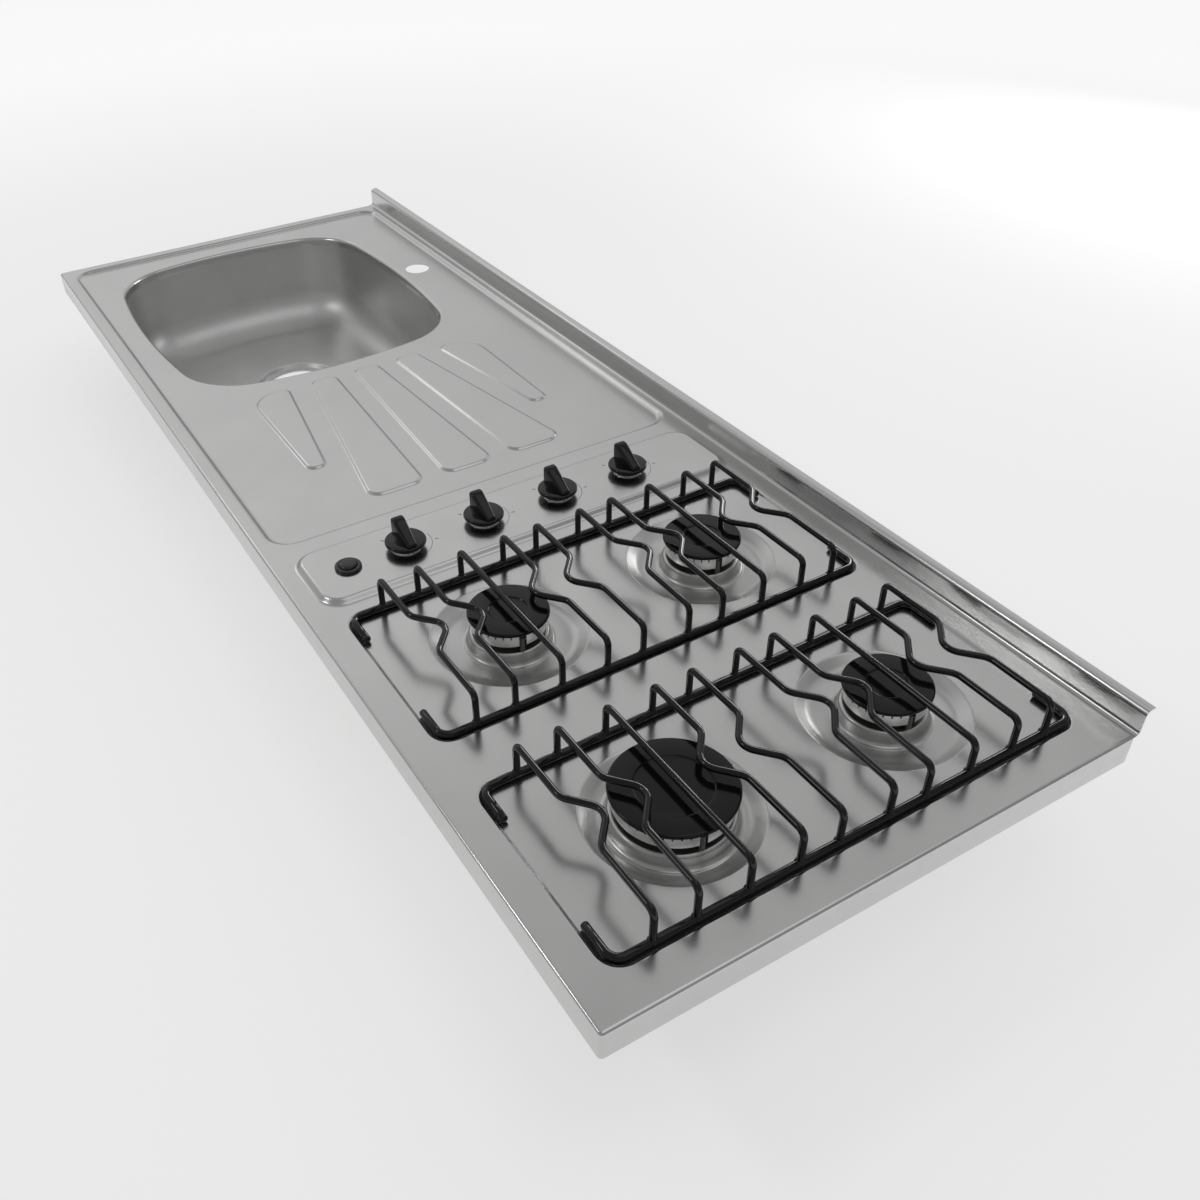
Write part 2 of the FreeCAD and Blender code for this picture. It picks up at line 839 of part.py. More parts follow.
def make_knob():
    low = skirt_bottom()
    top = low + skirt_thickness
    skirt = cylinder(skirt_radius, low, top)
    skirt = skirt.makeFillet(skirt_edge, edges_at(skirt, top))
    hub = cylinder(knob_hub_radius, low - knob_hub_height, low)
    profile = [
        Vector(-fin_half_length, -fin_width / 2, low + skirt_thickness / 2),
        Vector(-fin_half_length, -fin_width / 2, top + fin_height),
        Vector(-fin_half_length + fin_top_run, -fin_width / 2, top + fin_height),
        Vector(fin_half_length, -fin_width / 2, top + fin_low_height),
        Vector(fin_half_length, -fin_width / 2, low + skirt_thickness / 2),
    ]
    fin = Part.Face(Part.makePolygon(profile + profile[:1])).extrude(Vector(0, fin_width, 0))
    rounded = [edge for edge in fin.Edges if edge.BoundBox.ZMax > top]
    fin = fin.makeFillet(fin_edge, rounded)
    socket = knob_socket_space(low - knob_hub_height, spindle_fit)
    return skirt.fuse([hub, fin]).cut(socket).removeSplitter()


def knob_socket_space(bottom, fit):
    # The flatted end of the spindle, or its socket in the knob when given a fit.
    end = cylinder(spindle_radius + fit, bottom, bottom + knob_socket)
    reach = spindle_radius - spindle_flat + fit
    flat = box(reach, 2 * spindle_radius, -spindle_radius - 1, spindle_radius + 1,
               bottom, bottom + knob_socket)
    return end.cut(flat)


def tap_top():
    return panel_under - tap_gap


def plug_top():
    return tap_top() - tap_neck


def plug_bottom():
    return tap_top() - tap_length + tap_floor


def make_spindle():
    knob_low = skirt_bottom() - knob_hub_height
    foot = plug_top() - plug_socket + knob_travel + plug_socket_spare
    shaft = cylinder(spindle_radius, foot, knob_low)
    return shaft.fuse(knob_socket_space(knob_low, 0)).removeSplitter()


def make_plug():
    length = plug_top() - plug_bottom()
    cone = Part.makeCone(plug_top_radius - plug_taper, plug_top_radius, length,
                         Vector(0, 0, plug_bottom()))
    cone = cone.cut(cylinder(spindle_radius + plug_socket_fit, plug_top() - plug_socket, plug_top()))
    level = plug_bottom() + (length - plug_socket) / 2
    port = Part.makeCylinder(plug_port_radius, 2 * plug_top_radius,
                             Vector(-plug_top_radius, 0, level), Vector(1, 0, 0))
    return cone.cut(port)


def rail_x():
    return knob_x - tap_radius - rail_arm_gap - rail_side / 2


def rail_level():
    return tap_top() - rail_drop


def make_tap():
    low = tap_top() - tap_length
    body = cylinder(tap_radius, low, tap_top())
    arm_end = rail_x() + rail_side / 2 - knob_x
    arm = box(arm_end, 0, -arm_half_width, arm_half_width,
              rail_level() - rail_side / 2, rail_level() + rail_side / 2)
    outlet = Part.makeCylinder(outlet_radius, outlet_reach, Vector(0, 0, rail_level()),
                               Vector(1, 0, 0))
    body = body.fuse([arm, outlet])
    bottom = plug_bottom() - plug_end_gap
    top = plug_top() + plug_end_gap
    space = Part.makeCone(plug_top_radius - plug_taper + plug_fit, plug_top_radius + plug_fit,
                          top - bottom, Vector(0, 0, bottom))
    body = body.cut(space)
    body = body.cut(cylinder(spindle_radius + tap_bore_gap, plug_top(), tap_top()))
    socket = Part.makeCylinder(pipe_radius + pipe_fit, socket_depth,
                               Vector(outlet_reach - socket_depth, 0, rail_level()),
                               Vector(1, 0, 0))
    screw = Part.makeCylinder(rail_screw_radius + screw_fit, rail_screw_depth,
                              Vector(arm_end, 0, rail_level()), Vector(1, 0, 0))
    return body.cut([socket, screw]).removeSplitter()


def make_rail():
    half = rail_side / 2
    start = knob_ys[0] - rail_overhang
    end = knob_ys[-1] + rail_overhang
    level = rail_level()
    tube = box(rail_x() - half, rail_x() + half, start, end, level - half, level + half)
    core = half - rail_wall
    tube = tube.cut(box(rail_x() - core, rail_x() + core, start + rail_wall, end - rail_wall,
                        level - core, level + core))
    points = []
    for place in range(7):
        spot = polar(inlet_nut_radius, 60 * place)
        points.append(Vector(rail_x() + spot.x, end, level + spot.y))
    nut = Part.Face(Part.makePolygon(points)).extrude(Vector(0, inlet_nut_length, 0))
    nipple_end = end + inlet_nut_length + inlet_length
    neck_end = end + inlet_nut_length + inlet_relief
    neck = Part.makeCylinder(inlet_relief_radius, neck_end - end, Vector(rail_x(), end, level),
                             Vector(0, 1, 0))
    nipple = Part.makeCylinder(inlet_radius, inlet_length - inlet_relief, Vector(rail_x(), neck_end, level),
                               Vector(0, 1, 0))
    way = Part.makeCylinder(inlet_bore_radius, nipple_end - end + rail_wall,
                            Vector(rail_x(), end - rail_wall, level), Vector(0, 1, 0))
    rail = tube.fuse([nut, neck, nipple]).cut(way)
    for y in knob_ys:
        hole = Part.makeCylinder(rail_screw_radius + screw_fit, rail_side,
                                 Vector(rail_x() - half, y, level), Vector(1, 0, 0))
        rail = rail.cut(hole)
    return rail.removeSplitter()


def make_rail_screw(y):
    half = rail_side / 2
    level = rail_level()
    start = Vector(rail_x() - half, y, level)
    shank = Part.makeCylinder(rail_screw_radius, rail_side + rail_screw_depth - screw_fit, start,
                              Vector(1, 0, 0))
    head = Part.makeCylinder(rail_screw_head, rail_screw_head_height,
                             Vector(start.x - rail_screw_head_height, y, level), Vector(1, 0, 0))
    return shank.fuse(head).removeSplitter()


def make_bracket(y):
    # A bent strip from the underside of the panel down to the top of the rail.
    rail_top = rail_level() + rail_side / 2
    x = rail_x()
    web = x + rail_side / 2
    half = bracket_width / 2
    top = box(web - bracket_foot, web, y - half, y + half, panel_under - bracket_thickness, panel_under)
    upright = box(web - bracket_thickness, web, y - half, y + half, rail_top, panel_under)
    foot = box(x - rail_side / 2, web, y - half, y + half, rail_top, rail_top + bracket_thickness)
    return top.fuse([upright, foot]).removeSplitter()


def make_pipe(x, y, knob_y):
    # From the tap's outlet along the hob to the inlet boss under the burner.
    start = Vector(knob_x + outlet_reach - socket_depth, knob_y, rail_level())
    end = Vector(x - cup_tail_radius - inlet_boss_reach + socket_depth, y, inlet_level)
    leave = start.x + socket_depth + pipe_run_out
    arrive = end.x - socket_depth - pipe_run_out
    points = [start, Vector(leave, knob_y, start.z), Vector(arrive, y, end.z), end]
    return bar(points, [pipe_bend, pipe_bend], pipe_radius)


def make_knob_bezel():
    profile = (
        (bezel_bore, panel_top),
        (bezel_radius, panel_top),
        (bezel_radius - bezel_height / 2, panel_top + bezel_height),
        (bezel_bore, panel_top + bezel_height),
    )
    return revolve(profile)


def make_igniter_bezel():
    bore = button_radius + button_fit
    bottom = panel_under - igniter_neck_length
    top = panel_top + igniter_bezel_height
    profile = (
        (bore, bottom),
        (igniter_neck_radius, bottom),
        (igniter_neck_radius, panel_top),
        (igniter_bezel_radius, panel_top),
        (igniter_bezel_radius, top),
        (bore, top),
    )
    ring = revolve(profile)
    return ring.makeFillet(igniter_bezel_edge, edges_at(ring, top, igniter_bezel_radius))


def make_button():
    low = panel_top - button_sink
    top = panel_top + button_rise
    body = cylinder(button_radius, low, top)
    body = body.makeFillet(button_dome, edges_at(body, top))
    return body.fuse(cylinder(stem_radius, low - stem_length, low)).removeSplitter()


def make_igniter_body():
    top = panel_under - igniter_neck_length
    half = igniter_body_side / 2
    body = box(-half, half, -half, half, top - igniter_body_height, top)
    uprights = [edge for edge in body.Edges if edge.BoundBox.ZLength > 1]
    body = body.makeFillet(igniter_body_edge, uprights)
    stem_foot = panel_top - button_sink - stem_length - button_travel
    return body.cut(cylinder(stem_radius + stem_fit, stem_foot - stem_fit, top))


def make_stiffener(x):
    # A hat section welded across the underside of a flat strip.
    half = stiffener_width / 2
    start = pattern_shift - field_half + stiffener_margin
    length = 2 * (field_half - stiffener_margin)
    points = [
        Vector(0, -half - stiffener_flange, 0),
        Vector(0, -half, 0),
        Vector(0, -half, -stiffener_depth),
        Vector(0, half, -stiffener_depth),
        Vector(0, half, 0),
        Vector(0, half + stiffener_flange, 0),
    ]
    hat = strip(points, stiffener_bend, sheet, length)
    hat.rotate(Vector(0, 0, 0), Vector(0, 0, 1), 90)
    bounds = hat.BoundBox
    hat.translate(Vector(x - bounds.Center.x, start - bounds.YMin, -bounds.ZMax))
    return hat


os.makedirs("parts", exist_ok=True)

write("worktop", make_worktop())
write("sink_bowl", make_bowl())
strip_xs = ((zone_right + panel_left) / 2, (field1_right + field2_left) / 2)
for place, x in enumerate(strip_xs, 1):
    write("stiffener_%d" % place, make_stiffener(x))

pins = []
injectors = []
collar_screws = []
for place, (x, y, crown, knob) in enumerate(burners, 1):
    write("burner_collar_%d" % place, moved(make_collar(crown), x, y))
    write("burner_cup_%d" % place, moved(make_cup(crown), x, y))
    write("burner_crown_%d" % place, moved(make_crown(crown), x, y))
    write("burner_cap_%d" % place, moved(make_cap(crown), x, y))
    spot = polar(collar_middle(crown), electrode_angle)
    write("electrode_%d" % place, moved(make_electrode(), x + spot.x, y + spot.y))
    write("gas_pipe_%d" % place, make_pipe(x, y, knob_ys[knob]))
    pins.append(moved(make_pin(), x + spot.x, y + spot.y))
    injectors.append(moved(make_injector(), x, y))
    for angle in collar_screw_angles():
        spot = polar(collar_middle(crown), angle)
        collar_screws.append(moved(make_collar_screw(), x + spot.x, y + spot.y))
write("electrode_pins", Part.makeCompound(pins))
write("injectors", Part.makeCompound(injectors))
write("collar_screws", Part.makeCompound(collar_screws))

for place, x in enumerate(field_xs, 1):
    write("grate_%d" % place, moved(make_grate(), x, pattern_shift))

rail_screws = []
for place, y in enumerate(knob_ys, 1):
    write("knob_%d" % place, moved(make_knob(), knob_x, y))
    write("knob_bezel_%d" % place, moved(make_knob_bezel(), knob_x, y))
    write("spindle_%d" % place, moved(make_spindle(), knob_x, y))
    write("tap_plug_%d" % place, moved(make_plug(), knob_x, y))
    write("gas_tap_%d" % place, moved(make_tap(), knob_x, y))
    rail_screws.append(make_rail_screw(y))
write("gas_rail", make_rail())
write("rail_screws", Part.makeCompound(rail_screws))
write("rail_bracket_1", make_bracket(knob_ys[0] - bracket_offset))
write("rail_bracket_2", make_bracket(knob_ys[-1] + bracket_offset))

write("igniter_bezel", moved(make_igniter_bezel(), knob_x, igniter_y))
write("igniter_button", moved(make_button(), knob_x, igniter_y))
write("igniter_body", moved(make_igniter_body(), knob_x, igniter_y))
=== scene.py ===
import json
import math

import bmesh
import bpy
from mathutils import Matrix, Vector


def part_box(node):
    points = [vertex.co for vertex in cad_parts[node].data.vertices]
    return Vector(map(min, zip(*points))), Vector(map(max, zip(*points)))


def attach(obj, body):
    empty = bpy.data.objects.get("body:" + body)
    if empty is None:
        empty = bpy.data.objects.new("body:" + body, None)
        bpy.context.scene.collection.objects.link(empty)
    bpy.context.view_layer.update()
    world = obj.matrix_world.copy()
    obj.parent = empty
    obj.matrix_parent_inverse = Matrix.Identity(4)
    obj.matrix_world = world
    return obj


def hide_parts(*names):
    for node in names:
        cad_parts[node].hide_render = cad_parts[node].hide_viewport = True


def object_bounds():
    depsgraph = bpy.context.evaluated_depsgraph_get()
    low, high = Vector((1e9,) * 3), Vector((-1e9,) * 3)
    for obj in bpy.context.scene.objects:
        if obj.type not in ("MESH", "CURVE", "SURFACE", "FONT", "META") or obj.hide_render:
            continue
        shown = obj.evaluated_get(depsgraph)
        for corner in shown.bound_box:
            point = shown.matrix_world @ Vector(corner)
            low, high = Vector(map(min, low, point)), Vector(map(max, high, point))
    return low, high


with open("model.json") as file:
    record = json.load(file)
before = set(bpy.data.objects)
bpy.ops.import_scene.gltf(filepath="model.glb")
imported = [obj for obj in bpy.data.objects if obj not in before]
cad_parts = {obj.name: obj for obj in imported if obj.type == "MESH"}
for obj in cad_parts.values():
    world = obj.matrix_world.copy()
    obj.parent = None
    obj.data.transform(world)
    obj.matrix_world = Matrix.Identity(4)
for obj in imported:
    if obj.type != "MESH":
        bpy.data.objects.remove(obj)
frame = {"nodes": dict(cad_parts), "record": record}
cadLow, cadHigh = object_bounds()
nodes = frame["nodes"]
scene = bpy.context.scene
scene.view_settings.view_transform = "Standard"
print("frame loaded,", len(nodes), "nodes")

mm = 0.001  # shapes below are drawn in millimetres

# camera, fitted to the corners of the plate
cameraSet = {
    "eye": (1.09704, -0.49218, 0.67953),
    "turn": (51.2108, 1.6258, 59.5878),
    "lens": 35.073,
    "shift": (0.05688, 0.01732),
}
cameraData = bpy.data.cameras.new("studioCamera")
cameraData.sensor_width = 36
cameraData.lens = cameraSet["lens"]
cameraData.shift_x, cameraData.shift_y = cameraSet["shift"]
cameraData.clip_start = 0.01
camera = bpy.data.objects.new("studioCamera", cameraData)
camera.location = cameraSet["eye"]
camera.rotation_euler = [math.radians(angle) for angle in cameraSet["turn"]]
scene.collection.objects.link(camera)
scene.camera = camera
print("camera set")


# shader groups shared by the finishes

def newGroup(name, inputs, outputs):
    group = bpy.data.node_groups.new(name, "ShaderNodeTree")
    for label, kind, value in inputs:
        socket = group.interface.new_socket(name=label, in_out="INPUT", socket_type=kind)
        socket.default_value = value
    for label, kind in outputs:
        group.interface.new_socket(name=label, in_out="OUTPUT", socket_type=kind)
    return group, group.nodes.new("NodeGroupInput"), group.nodes.new("NodeGroupOutput")


def surfaceGrain():
    # noise in metres of the part, pulled out along one axis by the Frequency vector
    group, given, out = newGroup(
        "surfaceGrain",
        [("Frequency", "NodeSocketVector", (900, 900, 900)), ("Detail", "NodeSocketFloat", 3)],
        [("Height", "NodeSocketFloat")],
    )
    where = group.nodes.new("ShaderNodeTexCoord")
    scaled = group.nodes.new("ShaderNodeVectorMath")
    scaled.operation = "MULTIPLY"
    grain = group.nodes.new("ShaderNodeTexNoise")
    grain.inputs["Scale"].default_value = 1
    group.links.new(where.outputs["Object"], scaled.inputs[0])
    group.links.new(given.outputs["Frequency"], scaled.inputs[1])
    group.links.new(scaled.outputs["Vector"], grain.inputs["Vector"])
    group.links.new(given.outputs["Detail"], grain.inputs["Detail"])
    group.links.new(grain.outputs["Fac"], out.inputs["Height"])
    return group


def cloudMottle():
    # slow patches, used for small changes of colour and gloss
    group, given, out = newGroup(
        "cloudMottle",
        [("Scale", "NodeSocketFloat", 30), ("Low", "NodeSocketFloat", 0), ("High", "NodeSocketFloat", 1)],
        [("Value", "NodeSocketFloat")],
    )
    where = group.nodes.new("ShaderNodeTexCoord")
    cloud = group.nodes.new("ShaderNodeTexNoise")
    cloud.inputs["Detail"].default_value = 5
    cloud.inputs["Roughness"].default_value = 0.6
    spread = group.nodes.new("ShaderNodeMapRange")
    spread.inputs["From Min"].default_value = 0.3
    spread.inputs["From Max"].default_value = 0.7
    group.links.new(where.outputs["Object"], cloud.inputs["Vector"])
    group.links.new(given.outputs["Scale"], cloud.inputs["Scale"])
    group.links.new(cloud.outputs["Fac"], spread.inputs["Value"])
    group.links.new(given.outputs["Low"], spread.inputs["To Min"])
    group.links.new(given.outputs["High"], spread.inputs["To Max"])
    group.links.new(spread.outputs["Result"], out.inputs["Value"])
    return group


def edgeRub():
    # mask of the outer edges, broken up so that the rub looks handled
    group, given, out = newGroup(
        "edgeRub",
        [("Reach", "NodeSocketFloat", 0.06), ("Breakup", "NodeSocketFloat", 120)],
        [("Mask", "NodeSocketFloat")],
    )
    shape = group.nodes.new("ShaderNodeNewGeometry")
    where = group.nodes.new("ShaderNodeTexCoord")
    breakup = group.nodes.new("ShaderNodeTexNoise")
    edge = group.nodes.new("ShaderNodeMath")
    edge.operation = "SUBTRACT"
    edge.inputs[1].default_value = 0.52  # a flat face has a pointiness of a half
    ratio = group.nodes.new("ShaderNodeMath")
    ratio.operation = "DIVIDE"
    ratio.use_clamp = True
    product = group.nodes.new("ShaderNodeMath")
    product.operation = "MULTIPLY"
    group.links.new(shape.outputs["Pointiness"], edge.inputs[0])
    group.links.new(edge.outputs[0], ratio.inputs[0])
    group.links.new(given.outputs["Reach"], ratio.inputs[1])
    group.links.new(where.outputs["Object"], breakup.inputs["Vector"])
    group.links.new(given.outputs["Breakup"], breakup.inputs["Scale"])
    group.links.new(ratio.outputs[0], product.inputs[0])
    group.links.new(breakup.outputs["Fac"], product.inputs[1])
    group.links.new(product.outputs[0], out.inputs["Mask"])
    return group


grainGroup = surfaceGrain()
mottleGroup = cloudMottle()
rubGroup = edgeRub()


# what a finish has where it names nothing else
finishBase = {"metallic": 0, "ior": 1.5, "vary": 0.06, "tintScale": 0.6, "rubReach": 0.06,
              "bumpDepth": 0.0001}


def makeFinish(name, ownSettings):
    settings = {**finishBase, **ownSettings}
    material = bpy.data.materials.new(name)
    material.use_nodes = True
    tree = material.node_tree
    shader = tree.nodes["Principled BSDF"]
    shader.inputs["Metallic"].default_value = settings["metallic"]
    shader.inputs["IOR"].default_value = settings["ior"]

    def place(group, values):
        node = tree.nodes.new("ShaderNodeGroup")
        node.node_tree = group
        for label, value in values.items():
            node.inputs[label].default_value = value
        return node

    low, high = settings["rough"]
    gloss = place(mottleGroup, {"Scale": settings["mottle"], "Low": low, "High": high})
    tree.links.new(gloss.outputs["Value"], shader.inputs["Roughness"])

    # patches of colour, broader than those of gloss
    tint = place(mottleGroup, {"Scale": settings["mottle"] * settings["tintScale"]})
    shade = tree.nodes.new("ShaderNodeMix")
    shade.data_type = "RGBA"
    vary = settings["vary"]
    shade.inputs["A"].default_value = [c * (1 - vary) for c in settings["color"]] + [1]
    shade.inputs["B"].default_value = [c * (1 + vary) for c in settings["color"]] + [1]
    tree.links.new(tint.outputs["Value"], shade.inputs["Factor"])

    rub = place(rubGroup, {"Reach": settings["rubReach"]})
    worn = tree.nodes.new("ShaderNodeMix")
    worn.data_type = "RGBA"
    worn.inputs["B"].default_value = list(settings["rubColor"]) + [1]
    tree.links.new(rub.outputs["Mask"], worn.inputs["Factor"])
    tree.links.new(shade.outputs["Result"], worn.inputs["A"])
    tree.links.new(worn.outputs["Result"], shader.inputs["Base Color"])

    grain = place(grainGroup, {"Frequency": settings["grain"]})
    bump = tree.nodes.new("ShaderNodeBump")
    bump.inputs["Strength"].default_value = settings["bump"]
    bump.inputs["Distance"].default_value = settings["bumpDepth"]
    tree.links.new(grain.outputs["Height"], bump.inputs["Height"])
    tree.links.new(bump.outputs["Normal"], shader.inputs["Normal"])
    return material


finishSet = {
    "deckSteel": {"metallic": 1, "color": (0.58, 0.58, 0.575), "rough": (0.2, 0.26), "mottle": 14,
                  "grain": (40, 1800, 1800), "bump": 0.03, "rubColor": (0.66, 0.66, 0.66), "vary": 0.03},
    "dishSteel": {"metallic": 1, "color": (0.58, 0.58, 0.575), "rough": (0.3, 0.36), "mottle": 14,
                  "grain": (900, 900, 900), "bump": 0.03, "rubColor": (0.66, 0.66, 0.66), "vary": 0.03},
    # the bowl's steel is paler than the deck's: painted light that lifts the shaded inside of the bowl
    "bowlSteel": {"metallic": 1, "color": (0.63, 0.63, 0.625), "rough": (0.38, 0.44), "mottle": 20,
                  "grain": (500, 900, 900), "bump": 0.06, "rubColor": (0.7, 0.7, 0.7), "vary": 0.05},
    "plainSteel": {"metallic": 1, "color": (0.48, 0.48, 0.47), "rough": (0.3, 0.45), "mottle": 60,
                   "grain": (700, 700, 700), "bump": 0.15, "rubColor": (0.7, 0.7, 0.68)},
    "grateEnamel": {"color": (0.004, 0.004, 0.004), "ior": 1.42, "rough": (0.06, 0.1), "mottle": 50,
                    "grain": (420, 420, 420), "bump": 0.1, "rubColor": (0.012, 0.012, 0.012)},
    "capEnamel": {"color": (0.005, 0.005, 0.005), "ior": 1.35, "rough": (0.09, 0.15), "mottle": 60,
                  "grain": (900, 900, 900), "bump": 0.1, "rubColor": (0.02, 0.02, 0.02)},
    "crownAluminium": {"metallic": 1, "color": (0.78, 0.78, 0.77), "rough": (0.2, 0.28), "mottle": 80,
                       "grain": (1500, 1500, 40), "bump": 0.25, "rubColor": (0.9, 0.9, 0.9)},
    "collarAluminium": {"metallic": 1, "color": (0.5, 0.5, 0.49), "rough": (0.27, 0.33), "mottle": 70,
                        "grain": (900, 900, 60), "bump": 0.1, "rubColor": (0.72, 0.72, 0.72)},
    # near-black cast finish, painted shade for the dark gap under each crown
    "paintedShadeCast": {"metallic": 1, "color": (0.07, 0.07, 0.068), "rough": (0.5, 0.65), "mottle": 90,
                  "grain": (1100, 1100, 1100), "bump": 0.3, "rubColor": (0.12, 0.12, 0.12)},
    "castAluminium": {"metallic": 1, "color": (0.52, 0.52, 0.51), "rough": (0.4, 0.55), "mottle": 60,
                      "grain": (1100, 1100, 1100), "bump": 0.4, "rubColor": (0.7, 0.7, 0.7)},
    "pipeAluminium": {"metallic": 1, "color": (0.66, 0.66, 0.65), "rough": (0.22, 0.34), "mottle": 50,
                      "grain": (60, 900, 900), "bump": 0.15, "rubColor": (0.8, 0.8, 0.8)},
    # the electrodes' ceramic is near black: painted shade for the electrode in its notch under the cap
    "glazedCeramic": {"color": (0.1, 0.098, 0.095), "rough": (0.16, 0.28), "mottle": 200,
                      "grain": (900, 900, 900), "bump": 0.05, "rubColor": (0.14, 0.14, 0.135)},
    "knobPlastic": {"color": (0.003, 0.003, 0.003), "ior": 1.4, "rough": (0.06, 0.11), "mottle": 90,
                    "grain": (1400, 1400, 1400), "bump": 0.08, "rubColor": (0.02, 0.02, 0.02)},
    "brightRing": {"metallic": 1, "color": (0.6, 0.6, 0.6), "rough": (0.14, 0.2), "mottle": 90,
                   "grain": (1500, 1500, 60), "bump": 0.1, "rubColor": (0.9, 0.9, 0.9)},
    "buttonPlastic": {"color": (0.01, 0.01, 0.01), "rough": (0.2, 0.3), "mottle": 90,
                      "grain": (1600, 1600, 1600), "bump": 0.12, "rubColor": (0.05, 0.05, 0.05)},
    "housingPlastic": {"color": (0.05, 0.05, 0.05), "rough": (0.4, 0.55), "mottle": 60,
                       "grain": (1500, 1500, 1500), "bump": 0.3, "rubColor": (0.12, 0.12, 0.12)},
    "machinedBrass": {"metallic": 1, "color": (0.7, 0.5, 0.22), "rough": (0.2, 0.34), "mottle": 70,
                      "grain": (900, 900, 900), "bump": 0.12, "rubColor": (0.85, 0.68, 0.38)},
    "panelPrint": {"color": (0.16, 0.16, 0.16), "rough": (0.4, 0.5), "mottle": 200,
                   "grain": (900, 900, 900), "bump": 0.05, "rubColor": (0.2, 0.2, 0.2)},
}
finishes = {name: makeFinish(name, settings) for name, settings in finishSet.items()}
slotFinish = {
    "deck_steel": "deckSteel", "bowl_steel": "bowlSteel", "plain_steel": "plainSteel",
    "grate_enamel": "grateEnamel", "cap_enamel": "capEnamel", "crown_alu": "crownAluminium",
    "collar_alu": "collarAluminium", "cast_alu": "castAluminium", "pipe_alu": "pipeAluminium",
    "ceramic": "glazedCeramic", "knob_black": "knobPlastic", "bezel_chrome": "brightRing",
    "black_plastic": "buttonPlastic", "grey_plastic": "housingPlastic", "brass": "machinedBrass",
}
nodeSlot = {part["node"]: part["material_slot"] for part in frame["record"]["subparts"]}
for name, node in nodes.items():
    node.data.materials.clear()
    node.data.materials.append(finishes[slotFinish[nodeSlot[name]]])
print("finishes made:", len(finishes))


# shape helpers, all in millimetres

def roundedPath(points, bends, arcSteps):
    # straight runs with a tangent arc at each inner point
    points = [Vector(point) for point in points]
    path = [points[0]]
    for before, here, after, bend in zip(points, points[1:], points[2:], bends):
        back = (before - here).normalized()
        ahead = (after - here).normalized()
        half = back.angle(ahead) / 2
        reach = bend / math.tan(half)
        centre = here + (back + ahead).normalized() * (bend / math.sin(half))
        start = here + back * reach - centre
        end = here + ahead * reach - centre
        turn = math.pi - 2 * half
        for step in range(arcSteps + 1):
            share = step / arcSteps
            weight = math.sin((1 - share) * turn) / math.sin(turn)
            path.append(centre + start * weight + end * (math.sin(share * turn) / math.sin(turn)))
    path.append(points[-1])
    return path


def profilePath(points, bends, arcSteps=5):
    flat = roundedPath([(a, 0, b) for a, b in points], bends, arcSteps)
    return [(point.x, point.z) for point in flat]


def circleLoop(x, y, radius, count):
    loop = []
    for place in range(count):
        angle = 2 * math.pi * place / count
        loop.append((x + radius * math.cos(angle), y + radius * math.sin(angle)))
    return loop


def cornerLoop(points, radii, inset, arcSteps=10):
    # convex outline with an arc at each corner, drawn in by the inset
    count = len(points)
    normals = []
    for place in range(count):
        run = (Vector(points[(place + 1) % count]) - Vector(points[place])).normalized()
        normals.append(Vector((run.y, -run.x)))
    loop = []
    for place in range(count):
        before = normals[place - 1]
        after = normals[place]
        centre = Vector(points[place]) - (before + after) * (radii[place] / (1 + before.dot(after)))
        turn = before.angle(after)
        first = math.atan2(before.y, before.x)
        for step in range(arcSteps + 1):
            angle = first + turn * step / arcSteps
            reach = radii[place] - inset
            loop.append((centre.x + reach * math.cos(angle), centre.y + reach * math.sin(angle)))
    return loop


def rectangle(x0, x1, y0, y1):
    return [(x0, y0), (x1, y0), (x1, y1), (x0, y1)]


def addRing(mesh, loop, z):
    return [mesh.verts.new((x, y, z)) for x, y in loop]


def bridge(mesh, outer, inner, closed=True):
    count = len(outer)
    for place in range(count if closed else count - 1):
        after = (place + 1) % count
        mesh.faces.new((outer[place], outer[after], inner[after], inner[place]))


def stack(mesh, rings, closed=True):
    for outer, inner in zip(rings, rings[1:]):
        bridge(mesh, outer, inner, closed)


def fillFlat(mesh, loops):
    edges = []
    for loop in loops:
        for place, vert in enumerate(loop):
            pair = (vert, loop[(place + 1) % len(loop)])
            edges.append(mesh.edges.get(pair) or mesh.edges.new(pair))
    made = bmesh.ops.triangle_fill(mesh, edges=edges, use_beauty=True, normal=(0, 0, 1))
    for face in made["geom"]:
        if isinstance(face, bmesh.types.BMFace):
            face.normal_update()
            if face.normal.z < 0:
                face.normal_flip()


def lathe(mesh, profile, x, y, count=96, closed=False):
    # the profile runs up the outside and back down the inside
    rings = []
    for radius, z in profile:
        if radius < 1e-6:
            rings.append([mesh.verts.new((x, y, z))])
        else:
            rings.append(addRing(mesh, circleLoop(x, y, radius, count), z))
    pairs = list(zip(rings, rings[1:]))
    if closed:
        pairs.append((rings[-1], rings[0]))
    for lower, upper in pairs:
        if len(upper) == 1:
            for place in range(count):
                mesh.faces.new((lower[place], lower[(place + 1) % count], upper[0]))
        elif len(lower) == 1:
            for place in range(count):
                mesh.faces.new((lower[0], upper[(place + 1) % count], upper[place]))
        else:
            bridge(mesh, lower, upper)


barEnd = {"angles": (30, 55, 75, 88), "bulge": 0.6}  # rings over a rounded end, its length in radii


